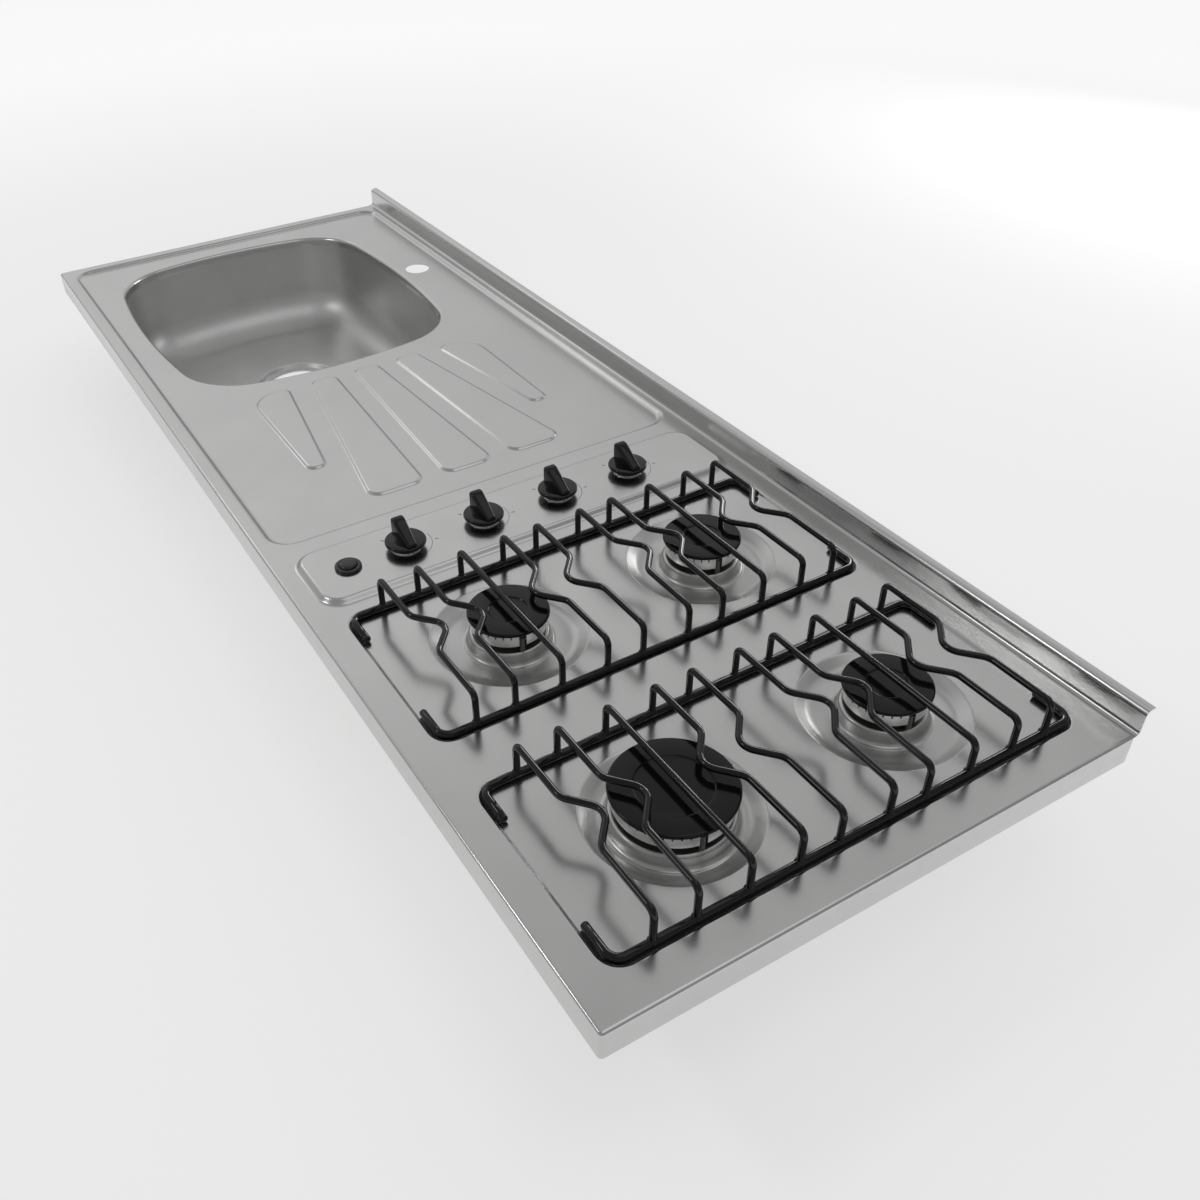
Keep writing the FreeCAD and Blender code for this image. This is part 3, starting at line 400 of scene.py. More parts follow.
def sweep(mesh, path, radius, sides, roundEnds=False):
    # a round bar along a path, its section carried along without twist
    count = len(path)
    tangents = []
    for place in range(count):
        ahead = path[min(place + 1, count - 1)] - path[max(place - 1, 0)]
        tangents.append(ahead.normalized())
    side = tangents[0].orthogonal().normalized()
    stations = []
    for place in range(count):
        if place:
            side = tangents[place - 1].rotation_difference(tangents[place]) @ side
        stations.append((path[place], tangents[place], side.copy(), radius))
    if roundEnds:
        for end, direction in ((0, -1), (-1, 1)):
            centre, tangent, across, _ = stations[end]
            extra = []
            for angle in barEnd["angles"]:
                lift = radius * barEnd["bulge"] * math.sin(math.radians(angle))
                size = radius * math.cos(math.radians(angle))
                extra.append((centre + tangent * direction * lift, tangent, across, size))
            stations = extra[::-1] + stations if end == 0 else stations + extra
    rings = []
    for centre, tangent, across, size in stations:
        up = tangent.cross(across)
        ring = []
        for place in range(sides):
            angle = 2 * math.pi * place / sides
            over, rise = size * math.cos(angle), size * math.sin(angle)
            ring.append(mesh.verts.new(centre + across * over + up * rise))
        rings.append(ring)
    stack(mesh, rings)
    mesh.faces.new(rings[0][::-1])
    mesh.faces.new(rings[-1])


def finishPiece(mesh, name, finish, body, replaced=(), sharp=50, thickness=None):
    bmesh.ops.scale(mesh, vec=(mm, mm, mm), verts=mesh.verts)
    mesh.edges.index_update()
    borders = [edge.index for edge in mesh.edges if edge.is_boundary]
    data = bpy.data.meshes.new(name)
    mesh.to_mesh(data)
    mesh.free()
    data.polygons.foreach_set("use_smooth", [True] * len(data.polygons))
    data.set_sharp_from_angle(angle=math.radians(sharp))
    for index in borders:
        data.edges[index].use_edge_sharp = True
    piece = bpy.data.objects.new(name, data)
    scene.collection.objects.link(piece)
    data.materials.append(finishes[finish])
    if thickness:
        wall = piece.modifiers.new("wall", "SOLIDIFY")
        wall.thickness = thickness * mm
        wall.offset = -1
        wall.use_even_offset = True
    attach(piece, body)
    if replaced:
        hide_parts(*replaced)
    return piece


# pressed top

deckSet = {
    "left": -750, "right": 750, "front": -260, "back": 253.5, "top": 1, "apron": -27,
    "corner": 4, "cornerSteps": 6, "bend": 3, "hem": 2, "sheet": 1,
    "support": 0.5,  # gap to the extra ring beside a bend, which keeps the flats flat
    "upstand": [(253.5, 1), (259, 1), (259, 26.5), (269, 26.5)], "upstandBends": (4.5, 5.5),
}
zoneSet = {"box": (-734, 120, -243.5, 248.5), "corner": 28, "rise": -4, "slope": 4, "ease": (6, 6)}
panelSet = {"box": (146, 244, -237.5, 242.5), "corner": 24, "rise": 5, "slope": 5, "ease": (6, 5)}
fieldSet = {"boxes": ((260, 461, -229.5, 234.5), (514.5, 715.5, -229.5, 234.5)),
            "corner": 20, "rise": -2.5, "slope": 2.5, "ease": (3, 3)}
dishSet = {"rim": 73, "rise": -8, "slope": 12, "ease": (4, 16), "boreIn": 7.5, "count": 128,
           "dullReach": 2, "dullBelow": -1.55}  # the duller finish starts just below the field
fingerSet = {
    "near": -210, "far": 81, "short": -9, "shift": 2.5, "rise": 2.2, "slope": 3.2, "ease": (4, 4),
    "corner": 11, "farCorner": 16, "sideCorner": 36,
    "middle": (17.5, 31.5), "next": ((40, 75), (55, 123)), "side": ((103, 157), (134, 157)),
}
bowlSet = {
    "centre": (-466.5, -17.5), "length": 453, "width": 380, "sideBow": 600, "frontBow": 1100, "corner": 88,
    "rim": 5, "rimLead": 12, "neck": -15, "seam": (0.1, 1), "floor": -129, "floorLead": 80, "taper": 10,
    "fillet": 50, "floorSupport": 1, "drain": (-466.5, -7.5), "drainBends": (3, 3),
    "drainProfile": [(62, -129), (59, -129), (55, -135), (45.6, -135)], "outlet": (45, -135),
}
tapHole = (-466.5, 203.5, 17.5)
capOut = 3  # reach of a burner cap past its crown


def middleOf(node):
    # middle of the node's box and half its length along x
    low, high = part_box(node)
    return (low.x + high.x) / 2 / mm, (low.y + high.y) / 2 / mm, (high.x - low.x) / 2 / mm


knobSet = {"x": 195, "ys": [middleOf("knob_bezel_%d" % number)[1] for number in range(1, 5)], "hole": 7}
igniterSet = {"x": 195, "y": middleOf("igniter_bezel")[1], "hole": 11}
burners = []
for number in range(1, 5):
    x, y, rim = middleOf("burner_cap_%d" % number)
    burners.append((x, y, rim - capOut))


def stepProfile(rise, slope, ease):
    # inset and height across a pressed step, with both bends rounded
    support = deckSet["support"]
    lead = [(-slope, 0), (0, 0), (slope, rise), (2 * slope, rise)]
    path = profilePath(lead, ease)[1:-1]
    return [(path[0][0] - support, 0)] + path + [(path[-1][0] + support, rise)]


def bowlLoop(outset, arcSteps=(14, 12)):
    halfX = bowlSet["length"] / 2
    halfY = bowlSet["width"] / 2
    side = Vector((halfX - bowlSet["sideBow"], 0))
    front = Vector((0, halfY - bowlSet["frontBow"]))
    reachSide = bowlSet["sideBow"] - bowlSet["corner"]
    reachFront = bowlSet["frontBow"] - bowlSet["corner"]
    span = front - side
    distance = span.length
    span.normalize()
    along = (distance ** 2 + reachSide ** 2 - reachFront ** 2) / (2 * distance)
    across = math.sqrt(reachSide ** 2 - along ** 2)
    corner = side + span * along + Vector((-span.y, span.x)) * across
    low = math.atan2(corner.y - side.y, corner.x - side.x)
    high = math.atan2(corner.y - front.y, corner.x - front.x)
    half = math.pi
    spans = (
        (side.x, 0, bowlSet["sideBow"], -low, low),
        (corner.x, corner.y, bowlSet["corner"], low, high),
        (0, front.y, bowlSet["frontBow"], high, half - high),
        (-corner.x, corner.y, bowlSet["corner"], half - high, half - low),
        (-side.x, 0, bowlSet["sideBow"], half - low, half + low),
        (-corner.x, -corner.y, bowlSet["corner"], half + low, half + high),
        (0, -front.y, bowlSet["frontBow"], half + high, 2 * half - high),
        (corner.x, -corner.y, bowlSet["corner"], 2 * half - high, 2 * half - low),
    )
    loop = []
    for place, (x, y, radius, start, end) in enumerate(spans):
        steps = arcSteps[place % 2]
        for step in range(steps):
            angle = start + (end - start) * step / steps
            loop.append((bowlSet["centre"][0] + x + (radius + outset) * math.cos(angle),
                         bowlSet["centre"][1] + y + (radius + outset) * math.sin(angle)))
    return loop


def fingerOutlines():
    near, far, short = fingerSet["near"], fingerSet["far"], fingerSet["short"]
    corner, wide = fingerSet["corner"], fingerSet["farCorner"]
    inner, outer = fingerSet["middle"]
    outlines = [([(near, -inner), (far, -outer), (far, outer), (near, inner)], [corner, wide, wide, corner])]
    for (start, end), stop, tip, last in ((fingerSet["next"], far, wide, corner),
                                          (fingerSet["side"], short, corner, fingerSet["sideCorner"])):
        right = [(near, start[0]), (stop, end[0]), (stop, end[1]), (near, start[1])]
        left = [(x, -y) for x, y in reversed(right)]
        outlines.append((right, [corner, tip, tip, last]))
        outlines.append((left, [last, tip, tip, corner]))
    return [([(x, y + fingerSet["shift"]) for x, y in points], radii) for points, radii in outlines]


def deckLoop(inset):
    # open outline: down the left side, along the front and up the right side
    left, right = deckSet["left"] + inset, deckSet["right"] - inset
    front, back = deckSet["front"] + inset, deckSet["back"]
    radius = deckSet["corner"] - inset
    steps = deckSet["cornerSteps"]
    loop = [(left, back)]
    for x, y, first in ((left + radius, front + radius, 180), (right - radius, front + radius, 270)):
        for step in range(steps + 1):
            angle = math.radians(first + 90 * step / steps)
            loop.append((x + radius * math.cos(angle), y + radius * math.sin(angle)))
    loop.append((right, back))
    return loop


def pressStep(mesh, loopAt, level, settings):
    rings = []
    for inset, height in stepProfile(settings["rise"], settings["slope"], settings["ease"]):
        rings.append(addRing(mesh, loopAt(inset), level + height))
    stack(mesh, rings)
    return rings[0], rings[-1]


def pressBox(mesh, box, level, settings):
    corners, radii = rectangle(*box), [settings["corner"]] * 4
    return pressStep(mesh, lambda inset: cornerLoop(corners, radii, inset), level, settings)


def pressDish(mesh, x, y, bore, level):
    rim, count = dishSet["rim"], dishSet["count"]
    foot, seat = pressStep(mesh, lambda inset: circleLoop(x, y, rim - inset, count), level, dishSet)
    bridge(mesh, seat, addRing(mesh, circleLoop(x, y, bore, count), level + dishSet["rise"]))
    return foot


def holeRing(mesh, x, y, radius, level, count=48):
    outer = addRing(mesh, circleLoop(x, y, radius + deckSet["support"], count), level)
    bridge(mesh, outer, addRing(mesh, circleLoop(x, y, radius, count), level))
    return outer


def buildDeck():
    mesh = bmesh.new()
    top, apron, bend, support = (deckSet[key] for key in ("top", "apron", "bend", "support"))
    section = [(0, apron), (0, apron + support)]
    section += profilePath([(0, apron + deckSet["hem"]), (0, top), (bend * 2, top)], [bend], arcSteps=6)[:-1]
    section.append((bend + support, top))
    rings = [addRing(mesh, deckLoop(inset), z) for inset, z in section]
    stack(mesh, rings, closed=False)

    zoneTop, zoneFloor = pressBox(mesh, zoneSet["box"], top, zoneSet)
    panelFoot, panelTop = pressBox(mesh, panelSet["box"], top, panelSet)
    deckHoles = [zoneTop, panelFoot]

    for box in fieldSet["boxes"]:
        edge, floor = pressBox(mesh, box, top, fieldSet)
        deckHoles.append(edge)
        dishes = []
        for x, y, crown in burners:
            if box[0] < x < box[1]:
                dishes.append(pressDish(mesh, x, y, crown - dishSet["boreIn"], top + fieldSet["rise"]))
        fillFlat(mesh, [floor] + dishes)
    fillFlat(mesh, [rings[-1]] + deckHoles)

    level = top + zoneSet["rise"]
    holes = [holeRing(mesh, *tapHole, level)]
    line = [(bowlSet["rimLead"], level), (0, level), (0, bowlSet["neck"])]
    rim = profilePath(line, [bowlSet["rim"]], arcSteps=7)
    neck = [addRing(mesh, bowlLoop(rim[1][0] + support), level)]
    neck += [addRing(mesh, bowlLoop(outset), z) for outset, z in rim[1:]]
    stack(mesh, neck)
    holes.append(neck[0])
    for points, radii in fingerOutlines():
        foot, crest = pressStep(mesh, lambda inset: cornerLoop(points, radii, inset), level, fingerSet)
        holes.append(foot)
        fillFlat(mesh, [crest])
    fillFlat(mesh, [zoneFloor] + holes)

    level = top + panelSet["rise"]
    holes = [holeRing(mesh, knobSet["x"], y, knobSet["hole"], level, count=32) for y in knobSet["ys"]]
    holes.append(holeRing(mesh, igniterSet["x"], igniterSet["y"], igniterSet["hole"], level, count=32))
    fillFlat(mesh, [panelTop] + holes)

    profile = profilePath(deckSet["upstand"], deckSet["upstandBends"], arcSteps=7)
    profile.insert(-1, (profile[-1][0] - support, profile[-1][1]))
    left, right = deckSet["left"], deckSet["right"]
    columns = []
    for x in (left, left + support, right - support, right):
        columns.append([mesh.verts.new((x, y, z)) for y, z in profile])
    for before, after in zip(columns, columns[1:]):
        for place in range(len(profile) - 1):
            mesh.faces.new((before[place], after[place], after[place + 1], before[place + 1]))
    # the drawn dishes are duller than the flat sheet
    reach = dishSet["rim"] + dishSet["dullReach"]
    for face in mesh.faces:
        spot = face.calc_center_median()
        inDish = any(math.hypot(spot.x - x, spot.y - y) < reach for x, y, _ in burners)
        face.material_index = int(inDish and spot.z < dishSet["dullBelow"])
    deck = finishPiece(mesh, "deckSheet", "deckSteel", "unit", ["worktop"],
                       sharp=60, thickness=deckSet["sheet"])
    deck.data.materials.append(finishes["dishSteel"])


def buildBowl():
    mesh = bmesh.new()
    floor, neck = bowlSet["floor"], bowlSet["neck"]
    seamIn, seamDown = bowlSet["seam"]
    line = [(0, neck), (-bowlSet["taper"], floor), (-bowlSet["floorLead"], floor)]
    wall = profilePath(line, [bowlSet["fillet"]], arcSteps=12)
    wall = [wall[0], (-seamIn, neck - seamDown)] + wall[1:-1]
    wall.append((wall[-1][0] - bowlSet["floorSupport"], floor))
    rings = [addRing(mesh, bowlLoop(outset), z) for outset, z in wall]
    stack(mesh, rings)
    profile = profilePath(bowlSet["drainProfile"], bowlSet["drainBends"], arcSteps=6) + [bowlSet["outlet"]]
    drain = [addRing(mesh, circleLoop(*bowlSet["drain"], radius, count=96), z) for radius, z in profile]
    stack(mesh, drain)
    fillFlat(mesh, [rings[-1], drain[0]])
    finishPiece(mesh, "sinkBasin", "bowlSteel", "unit", ["sink_bowl"],
                sharp=60, thickness=deckSet["sheet"])


buildDeck()
buildBowl()
print("pressed top and bowl built")


# burners

burnerSet = {
    "count": 128, "dishFloor": -9.5, "collarOut": 2.5, "collarWidth": 10, "collarFoot": 1.5, "flare": 4.5,
    "collarLip": 0.2, "collarTop": 4, "collarEdge": 3.5, "boreEdge": 0.4, "boreLift": 1,
    "neckLedge": 2, "neckBends": (1, 1), "flareZ": 8, "crownFoot": 10, "crownTop": 23, "wall": 5,
    # paintedShadeGap: how far below the crown's foot the painted shade starts
    "paintedShadeGap": 0.5,
    "portWidth": 1.4, "portHeight": 4.5, "portPitch": 7, "portDepth": 3.4,
    "sparkAngle": -8, "notch": 4.2, "notchSteps": 4,
    "capTop": 26.5, "capDish": 16.5, "capStep": 1, "capInner": 6, "capBends": (0.8, 1.9, 1.2, 1.2),
}


def buildCollar(number, x, y, crown):
    mesh = bmesh.new()
    outer = crown + burnerSet["collarOut"]
    inner = outer - burnerSet["collarWidth"]
    floor, top = burnerSet["dishFloor"], burnerSet["collarTop"]
    foot = outer + burnerSet["collarFoot"]
    flare = burnerSet["flare"]
    lip = floor + burnerSet["collarLip"]
    corners = [(foot + flare, lip), (foot, lip), (outer, top), (inner, top),
               (inner, floor + burnerSet["boreLift"])]
    bends = [flare, burnerSet["collarEdge"], burnerSet["boreEdge"]]
    profile = [(inner, floor), (foot + flare, floor)] + profilePath(corners, bends, arcSteps=8)[1:]
    lathe(mesh, profile, x, y, burnerSet["count"], closed=True)
    finishPiece(mesh, "collarRing%d" % number, "collarAluminium", "unit",
                ["burner_collar_%d" % number], sharp=60)


def crownAngles(crown):
    # places round the crown: body, flame port or spark notch
    ring = crown + burnerSet["collarOut"] - burnerSet["collarWidth"] / 2
    notch = burnerSet["notch"]
    mouth = math.acos((crown ** 2 + ring ** 2 - notch ** 2) / (2 * crown * ring))
    places = [(-mouth, "body")]
    steps = burnerSet["notchSteps"]
    for step in range(-steps, steps + 1):
        places.append((mouth * step / steps, "notch"))
    places.append((mouth, "body"))
    count = round(2 * math.pi * crown / burnerSet["portPitch"])
    half = burnerSet["portWidth"] / 2 / crown
    pitch = 2 * math.pi / count
    for place in range(count):
        angle = pitch * (place + 0.5)
        if angle - 2 * half > mouth and angle + 2 * half < 2 * math.pi - mouth:
            places += [(angle - half, "body"), (angle - half, "port")]
            places += [(angle + half, "port"), (angle + half, "body")]
        # two places between ports keep the wall round
        if angle + pitch / 3 > mouth and angle + 2 * pitch / 3 < 2 * math.pi - mouth:
            places += [(angle + pitch / 3, "body"), (angle + 2 * pitch / 3, "body")]
    return ring, places


def buildCrown(number, x, y, crown):
    mesh = bmesh.new()
    ring, places = crownAngles(crown)
    notch = burnerSet["notch"]
    neck = crown + burnerSet["collarOut"] - burnerSet["collarWidth"] + burnerSet["neckLedge"]
    top = burnerSet["crownTop"]
    ledge = top - burnerSet["portHeight"]
    corners = [(neck, burnerSet["collarTop"]), (neck, burnerSet["flareZ"]),
               (crown, burnerSet["crownFoot"]), (crown, ledge)]
    profile = profilePath(corners, burnerSet["neckBends"], arcSteps=4)
    stages = [(radius, z, False) for radius, z in profile] + [(crown, ledge, True), (crown, top, True)]
    stages.append((crown - burnerSet["wall"], top, False))
    rings = []
    for radius, z, ported in stages:
        loop = []
        for angle, kind in places:
            reach = radius
            if kind == "port" and ported:
                reach = radius - burnerSet["portDepth"]
            elif kind == "notch":
                near = ring * math.cos(angle) - math.sqrt(notch ** 2 - (ring * math.sin(angle)) ** 2)
                reach = min(radius, near)
            turned = angle + math.radians(burnerSet["sparkAngle"])
            loop.append((x + reach * math.cos(turned), y + reach * math.sin(turned)))
        rings.append(addRing(mesh, loop, z))
    stack(mesh, rings)
    bmesh.ops.remove_doubles(mesh, verts=mesh.verts, dist=0.002)
    # the neck and the underside of the flare get a near-black metal finish, painted shade for the dark gap
    # under the crown
    paintedShadeTop = burnerSet["crownFoot"] - burnerSet["paintedShadeGap"]
    for face in mesh.faces:
        face.material_index = int(face.calc_center_median().z < paintedShadeTop)
    piece = finishPiece(mesh, "crownRing%d" % number, "crownAluminium", "crown_%d" % number,
                        ["burner_crown_%d" % number], sharp=40)
    piece.data.materials.append(finishes["paintedShadeCast"])


def buildCap(number, x, y, crown):
    mesh = bmesh.new()
    rim = crown + capOut
    low, top = burnerSet["crownTop"], burnerSet["capTop"]
    dish, step = crown - burnerSet["capDish"], burnerSet["capStep"]
    sunk = top - step
    corners = [(0, low), (rim, low), (rim, top), (dish, top), (dish - step, sunk), (0, sunk)]
    profile = profilePath(corners, burnerSet["capBends"], arcSteps=6)
    profile.insert(-1, (dish - burnerSet["capInner"], sunk))
    lathe(mesh, profile, x, y, burnerSet["count"])
    finishPiece(mesh, "capDisc%d" % number, "capEnamel", "cap_%d" % number,
                ["burner_cap_%d" % number], sharp=60)


for number, (x, y, crown) in enumerate(burners, 1):
    buildCollar(number, x, y, crown)
    buildCrown(number, x, y, crown)
    buildCap(number, x, y, crown)
print("burners built")


# grates

grateSet = {
    "halfX": 93.5, "halfY": 225, "rodZ": 2.3, "rod": 3.5, "rodBend": 11,
    "stub": 36, "wire": 3, "wireZ": 35.3, "wireBend": 7, "offsets": (-84, -46.5, 0, 46.5, 84),
    "jog": 24, "jogHalf": 28, "jogBend": 15, "weld": 4.4, "weldLift": 1.6, "weldShape": (1, 1.05, 0.8),
}


def weldBead(mesh, centre, radius):
    made = bmesh.ops.create_icosphere(mesh, subdivisions=3, radius=radius)
    for vert in made["verts"]:
        vert.co = Vector([value * share for value, share in zip(vert.co, grateSet["weldShape"])]) + centre


def buildGrate(number):
    mesh = bmesh.new()
    x, middle, _ = middleOf("grate_%d" % number)
    pitch = burners[1][1] - burners[0][1]
    halfX, halfY, rodZ, wireZ = (grateSet[key] for key in ("halfX", "halfY", "rodZ", "wireZ"))
    centre = Vector((x, middle, 0))
    for side in (-1, 1):
        tip = side * (halfX - grateSet["stub"])
        rod = [(tip, -halfY, rodZ), (side * halfX, -halfY, rodZ)]
        rod += [(side * halfX, halfY, rodZ), (tip, halfY, rodZ)]
        path = roundedPath(rod, [grateSet["rodBend"]] * 2, arcSteps=10)
        sweep(mesh, [centre + point for point in path], grateSet["rod"], sides=20, roundEnds=True)
    for burner in (-pitch / 2, pitch / 2):
        for offset in grateSet["offsets"]:
            y = burner + offset
            line = [(-halfX, y, rodZ), (-halfX, y, wireZ), (halfX, y, wireZ), (halfX, y, rodZ)]
            bends = [grateSet["wireBend"]] * 2
            if offset:
                inward = y - math.copysign(grateSet["jog"], offset)
                reach = grateSet["jogHalf"]
                line[2:2] = [(-reach, y, wireZ), (0, inward, wireZ), (reach, y, wireZ)]
                bends[1:1] = [grateSet["jogBend"]] * 3
            path = roundedPath(line, bends, arcSteps=8)
            sweep(mesh, [centre + point for point in path], grateSet["wire"], sides=18)
            for side in (-halfX, halfX):
                spot = Vector((side, y, rodZ + grateSet["weldLift"]))
                weldBead(mesh, centre + spot, grateSet["weld"])
    return finishPiece(mesh, "wireGrate%d" % number, "grateEnamel", "grate_%d" % number,
                       ["grate_%d" % number], sharp=60)


grates = [buildGrate(number) for number in (1, 2)]
print("grates built")


# knobs, rings and igniter

gripSet = {
    "skirt": 21, "low": 12, "high": 16, "dome": 0.8, "hub": 12, "hubWall": 3, "hubLow": 10.5,
    "skirtBends": (0.4, 0.4, 1.4, 1.6), "crest": 34, "halfLength": 18.5, "topRun": 8, "width": 14.5,
    "topWidth": 14, "nearWidth": 11, "lowEnd": 18.5, "sunk": 1.5, "edge": 3,
}


def buildKnob(number, y):
    mesh = bmesh.new()
    x = knobSet["x"]
    skirt, low, high, hub, hubLow = (gripSet[key] for key in ("skirt", "low", "high", "hub", "hubLow"))
    corners = [(hub - gripSet["hubWall"], hubLow), (hub, hubLow), (hub, low),
               (skirt, low), (skirt, high), (0, high + gripSet["dome"])]
    lathe(mesh, profilePath(corners, gripSet["skirtBends"]), x, y)

    half, wide = gripSet["halfLength"], gripSet["width"] / 2
    top, tip = gripSet["topWidth"] / 2, gripSet["nearWidth"] / 2
    foot, crest = high - gripSet["sunk"], gripSet["crest"]
    outline = [(-half, foot, wide), (-half, crest, top), (-half + gripSet["topRun"], crest, top),
               (half, gripSet["lowEnd"], tip), (half, foot, tip)]
    sides = []
    for sign in (-1, 1):
        sides.append([mesh.verts.new((x + along, y + sign * across, z)) for along, z, across in outline])
    near, far = sides
    grip = [mesh.faces.new(near), mesh.faces.new(far[::-1])]
    count = len(outline)
    for place in range(count):
        after = (place + 1) % count
        grip.append(mesh.faces.new((near[after], near[place], far[place], far[after])))
    edges = {edge for face in grip for edge in face.edges if max(v.co.z for v in edge.verts) > high}
    bmesh.ops.recalc_face_normals(mesh, faces=grip)
    bmesh.ops.bevel(mesh, geom=list(edges), offset=gripSet["edge"], segments=5, profile=0.5, affect="EDGES",
                    clamp_overlap=True)
    finishPiece(mesh, "gripKnob%d" % number, "knobPlastic", "knob_%d" % number,
                ["knob_%d" % number], sharp=45)


ringSet = {"corners": [(13.5, 6), (15.5, 6), (15, 8), (13, 8), (13, 6.5)], "bends": (0.2, 0.7, 0.4)}


def buildRing(number, y):
    mesh = bmesh.new()
    lathe(mesh, profilePath(ringSet["corners"], ringSet["bends"], arcSteps=4), knobSet["x"], y, closed=True)
    finishPiece(mesh, "knobRing%d" % number, "brightRing", "unit",
                ["knob_bezel_%d" % number], sharp=60)


printSet = {"level": 6.04, "line": 0.5, "tick": (26, 30, 214), "dash": (31, 35, 85),
            "arcShift": -6, "arcRadius": 29, "arc": (25, 100)}


def addBand(mesh, x, y, radius, start, end, width, level, steps):
    inner, outer = [], []
    for step in range(steps + 1):
        angle = math.radians(start + (end - start) * step / steps)
        for ring, reach in ((inner, radius - width), (outer, radius + width)):
            ring.append(mesh.verts.new((x + reach * math.cos(angle), y + reach * math.sin(angle), level)))
    for place in range(steps):
        mesh.faces.new((outer[place], outer[place + 1], inner[place + 1], inner[place]))


def buildMarks(number, y):
    # generic off tick, turning arc and full-flame dash printed on the panel
    mesh = bmesh.new()
    x, level, line = knobSet["x"], printSet["level"], printSet["line"]
    addBand(mesh, x + printSet["arcShift"], y, printSet["arcRadius"], *printSet["arc"], line / 2, level,
            steps=24)
    for start, end, angle in (printSet["tick"], printSet["dash"]):
        spread = math.degrees(line / start)
        addBand(mesh, x, y, (start + end) / 2, angle - spread, angle + spread, (end - start) / 2, level,
                steps=2)
    finishPiece(mesh, "panelMark%d" % number, "panelPrint", "unit")


for number, y in enumerate(knobSet["ys"], 1):
    buildKnob(number, y)
    buildRing(number, y)
    buildMarks(number, y)


buttonSet = {
    "ring": [(10.8, -3), (10.8, 6), (13.5, 6), (13.5, 9), (9.3, 9), (9.3, -3)],
    "ringBends": (0.3, 0.4, 1.6, 0.5),
    "cap": [(0, -10), (3, -10), (3, 2), (9, 2), (9, 11), (0, 11.3)],
    "capBends": (0.5, 0.3, 0.5, 2.4),
}


def buildIgniter():
    x, y = igniterSet["x"], igniterSet["y"]
    mesh = bmesh.new()
    lathe(mesh, profilePath(buttonSet["ring"], buttonSet["ringBends"]), x, y, closed=True)
    finishPiece(mesh, "igniterRing", "buttonPlastic", "unit", ["igniter_bezel"], sharp=60)
    mesh = bmesh.new()
    lathe(mesh, profilePath(buttonSet["cap"], buttonSet["capBends"], arcSteps=6), x, y)
    finishPiece(mesh, "igniterCap", "buttonPlastic", "igniter_button", ["igniter_button"],
                sharp=60)


buildIgniter()
print("knobs and igniter built")


# studio

studioSet = {
    # the floor's glow is lower near the unit than far away, a painted shade round the unit
    "floorSize": 14, "floorDrop": 0.5, "floorColor": 0.62, "floorGlowAndShade": (0.5, 0.68), "paintedShadeReach": (0.9, 2.8),
    "skyTurn": (-0.8, 0.6, 0), "turnReach": (-0.1, 0.75), "skyNear": 0.34,
    "skyFar": ((0, 0.25), (0.12, 0.35), (0.25, 0.82), (0.32, 0.74), (0.46, 0.75), (0.57, 0.86),
               (0.66, 0.74), (0.82, 0.54), (1, 0.45)),  # grey by height
    "skyBack": 0.76, "backReach": (0.2, 0.7),
    "lamps": (
        {"name": "overheadSoft", "at": (0.9, 0.5, 2.4), "aim": (0.4, 0, 0), "size": (2.2, 1.5), "power": 5},
        {"name": "wireGlint", "at": (-0.97, 1.5, 1.25), "aim": (0.45, 0, 0), "size": (0.9, 0.35), "power": 12,
         "only": grates},
        {"name": "frontSoft", "at": (-0.45, -1.6, 1.6), "aim": (0.6, 0.2, 0), "size": (0.5, 0.3), "power": 4},
        {"name": "leftSoft", "at": (-1.76, -0.42, 1.25), "aim": (0, 0.1, 0), "size": (0.5, 0.35),
         "power": 0.65},
        {"name": "backLow", "at": (-0.4, 2.2, 0.6), "aim": (0.5, 0, 0), "size": (0.9, 0.4), "power": 6},
    ),
}


def setRange(node, given, wanted):
    for label, value in zip(("From Min", "From Max", "To Min", "To Max"), given + wanted):
        node.inputs[label].default_value = value


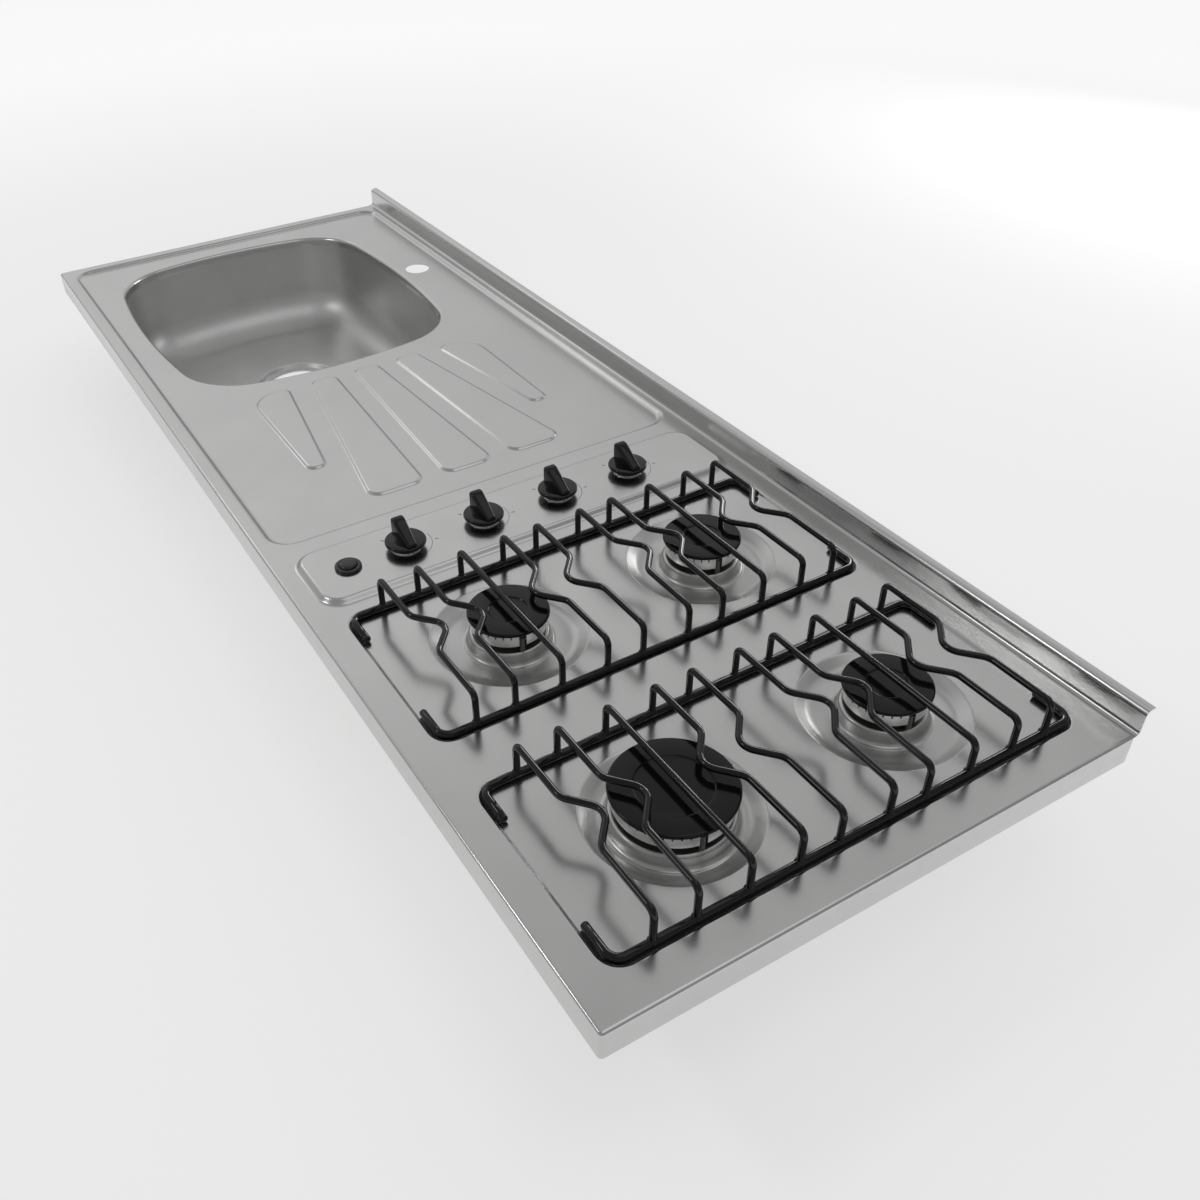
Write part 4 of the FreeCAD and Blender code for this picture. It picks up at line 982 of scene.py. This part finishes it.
def buildFloor():
    size = studioSet["floorSize"] / 2 / mm
    mesh = bmesh.new()
    ring = addRing(mesh, rectangle(-size, size, -size, size), cadLow.z / mm - studioSet["floorDrop"])
    mesh.faces.new(ring)
    bmesh.ops.scale(mesh, vec=(mm, mm, mm), verts=mesh.verts)
    data = bpy.data.meshes.new("studioFloor")
    mesh.to_mesh(data)
    mesh.free()
    floor = bpy.data.objects.new("studioFloor", data)
    scene.collection.objects.link(floor)
    paint = bpy.data.materials.new("floorPaint")
    paint.use_nodes = True
    tree = paint.node_tree
    tree.nodes.remove(tree.nodes["Principled BSDF"])
    matt = tree.nodes.new("ShaderNodeBsdfDiffuse")
    matt.inputs["Color"].default_value = [studioSet["floorColor"]] * 3 + [1]
    # pale to the camera and in reflections, with the shadow kept by the matt part
    rays = tree.nodes.new("ShaderNodeLightPath")
    seen = rays.outputs["Is Camera Ray"]
    for kind in ("Is Glossy Ray", "Is Transmission Ray"):
        either = tree.nodes.new("ShaderNodeMath")
        either.operation = "MAXIMUM"
        tree.links.new(seen, either.inputs[0])
        tree.links.new(rays.outputs[kind], either.inputs[1])
        seen = either.outputs[0]
    # the glow is lower near the unit and grows away from it: painted shade round the unit, on top of the matt
    # part's real shadow
    where = tree.nodes.new("ShaderNodeTexCoord")
    away = tree.nodes.new("ShaderNodeVectorMath")
    away.operation = "LENGTH"
    grow = tree.nodes.new("ShaderNodeMapRange")
    grow.interpolation_type = "SMOOTHSTEP"
    setRange(grow, studioSet["paintedShadeReach"], studioSet["floorGlowAndShade"])
    level = tree.nodes.new("ShaderNodeMath")
    level.operation = "MULTIPLY"
    tree.links.new(where.outputs["Object"], away.inputs[0])
    tree.links.new(away.outputs["Value"], grow.inputs["Value"])
    tree.links.new(grow.outputs["Result"], level.inputs[1])
    glow = tree.nodes.new("ShaderNodeEmission")
    both = tree.nodes.new("ShaderNodeAddShader")
    tree.links.new(seen, level.inputs[0])
    tree.links.new(level.outputs[0], glow.inputs["Strength"])
    tree.links.new(matt.outputs[0], both.inputs[0])
    tree.links.new(glow.outputs[0], both.inputs[1])
    tree.links.new(both.outputs[0], tree.nodes["Material Output"].inputs["Surface"])
    data.materials.append(paint)


def buildSky():
    world = bpy.data.worlds.new("studioSky")
    world.use_nodes = True
    scene.world = world
    tree = world.node_tree
    # graded by height on the far side, one grey on the near side, and dimmer towards the wall
    where = tree.nodes.new("ShaderNodeTexCoord")
    split = tree.nodes.new("ShaderNodeSeparateXYZ")
    height = tree.nodes.new("ShaderNodeValToRGB")
    ramp = height.color_ramp
    while len(ramp.elements) < len(studioSet["skyFar"]):
        ramp.elements.new(1)
    for stop, (place, grey) in zip(ramp.elements, studioSet["skyFar"]):
        stop.position = place
        stop.color = (grey, grey, grey, 1)
    facing = tree.nodes.new("ShaderNodeVectorMath")
    facing.operation = "DOT_PRODUCT"
    facing.inputs[1].default_value = studioSet["skyTurn"]
    turn = tree.nodes.new("ShaderNodeMapRange")
    turn.interpolation_type = "SMOOTHSTEP"
    setRange(turn, studioSet["turnReach"], (0, 1))
    back = tree.nodes.new("ShaderNodeMapRange")
    setRange(back, studioSet["backReach"], (1, studioSet["skyBack"]))
    blend = tree.nodes.new("ShaderNodeMix")
    blend.data_type = "RGBA"
    blend.inputs["A"].default_value = [studioSet["skyNear"]] * 3 + [1]
    tree.links.new(where.outputs["Generated"], split.inputs["Vector"])
    tree.links.new(where.outputs["Generated"], facing.inputs[0])
    tree.links.new(split.outputs["Z"], height.inputs["Fac"])
    tree.links.new(facing.outputs["Value"], turn.inputs["Value"])
    tree.links.new(turn.outputs["Result"], blend.inputs["Factor"])
    tree.links.new(height.outputs["Color"], blend.inputs["B"])
    tree.links.new(split.outputs["Y"], back.inputs["Value"])
    tree.links.new(back.outputs["Result"], tree.nodes["Background"].inputs["Strength"])
    tree.links.new(blend.outputs["Result"], tree.nodes["Background"].inputs["Color"])


def hangLamps():
    for lamp in studioSet["lamps"]:
        light = bpy.data.lights.new(lamp["name"], "AREA")
        light.shape = "RECTANGLE"
        light.size, light.size_y = lamp["size"]
        light.energy = lamp["power"]
        holder = bpy.data.objects.new(lamp["name"], light)
        holder.location = lamp["at"]
        aim = Vector(lamp["aim"]) - Vector(lamp["at"])
        holder.rotation_euler = aim.to_track_quat("-Z", "Y").to_euler()
        scene.collection.objects.link(holder)
        if "only" in lamp:
            lit = bpy.data.collections.new(lamp["name"] + "Pieces")
            for piece in lamp["only"]:
                lit.objects.link(piece)
            holder.light_linking.receiver_collection = lit


buildFloor()
buildSky()
hangLamps()
print("studio lit")
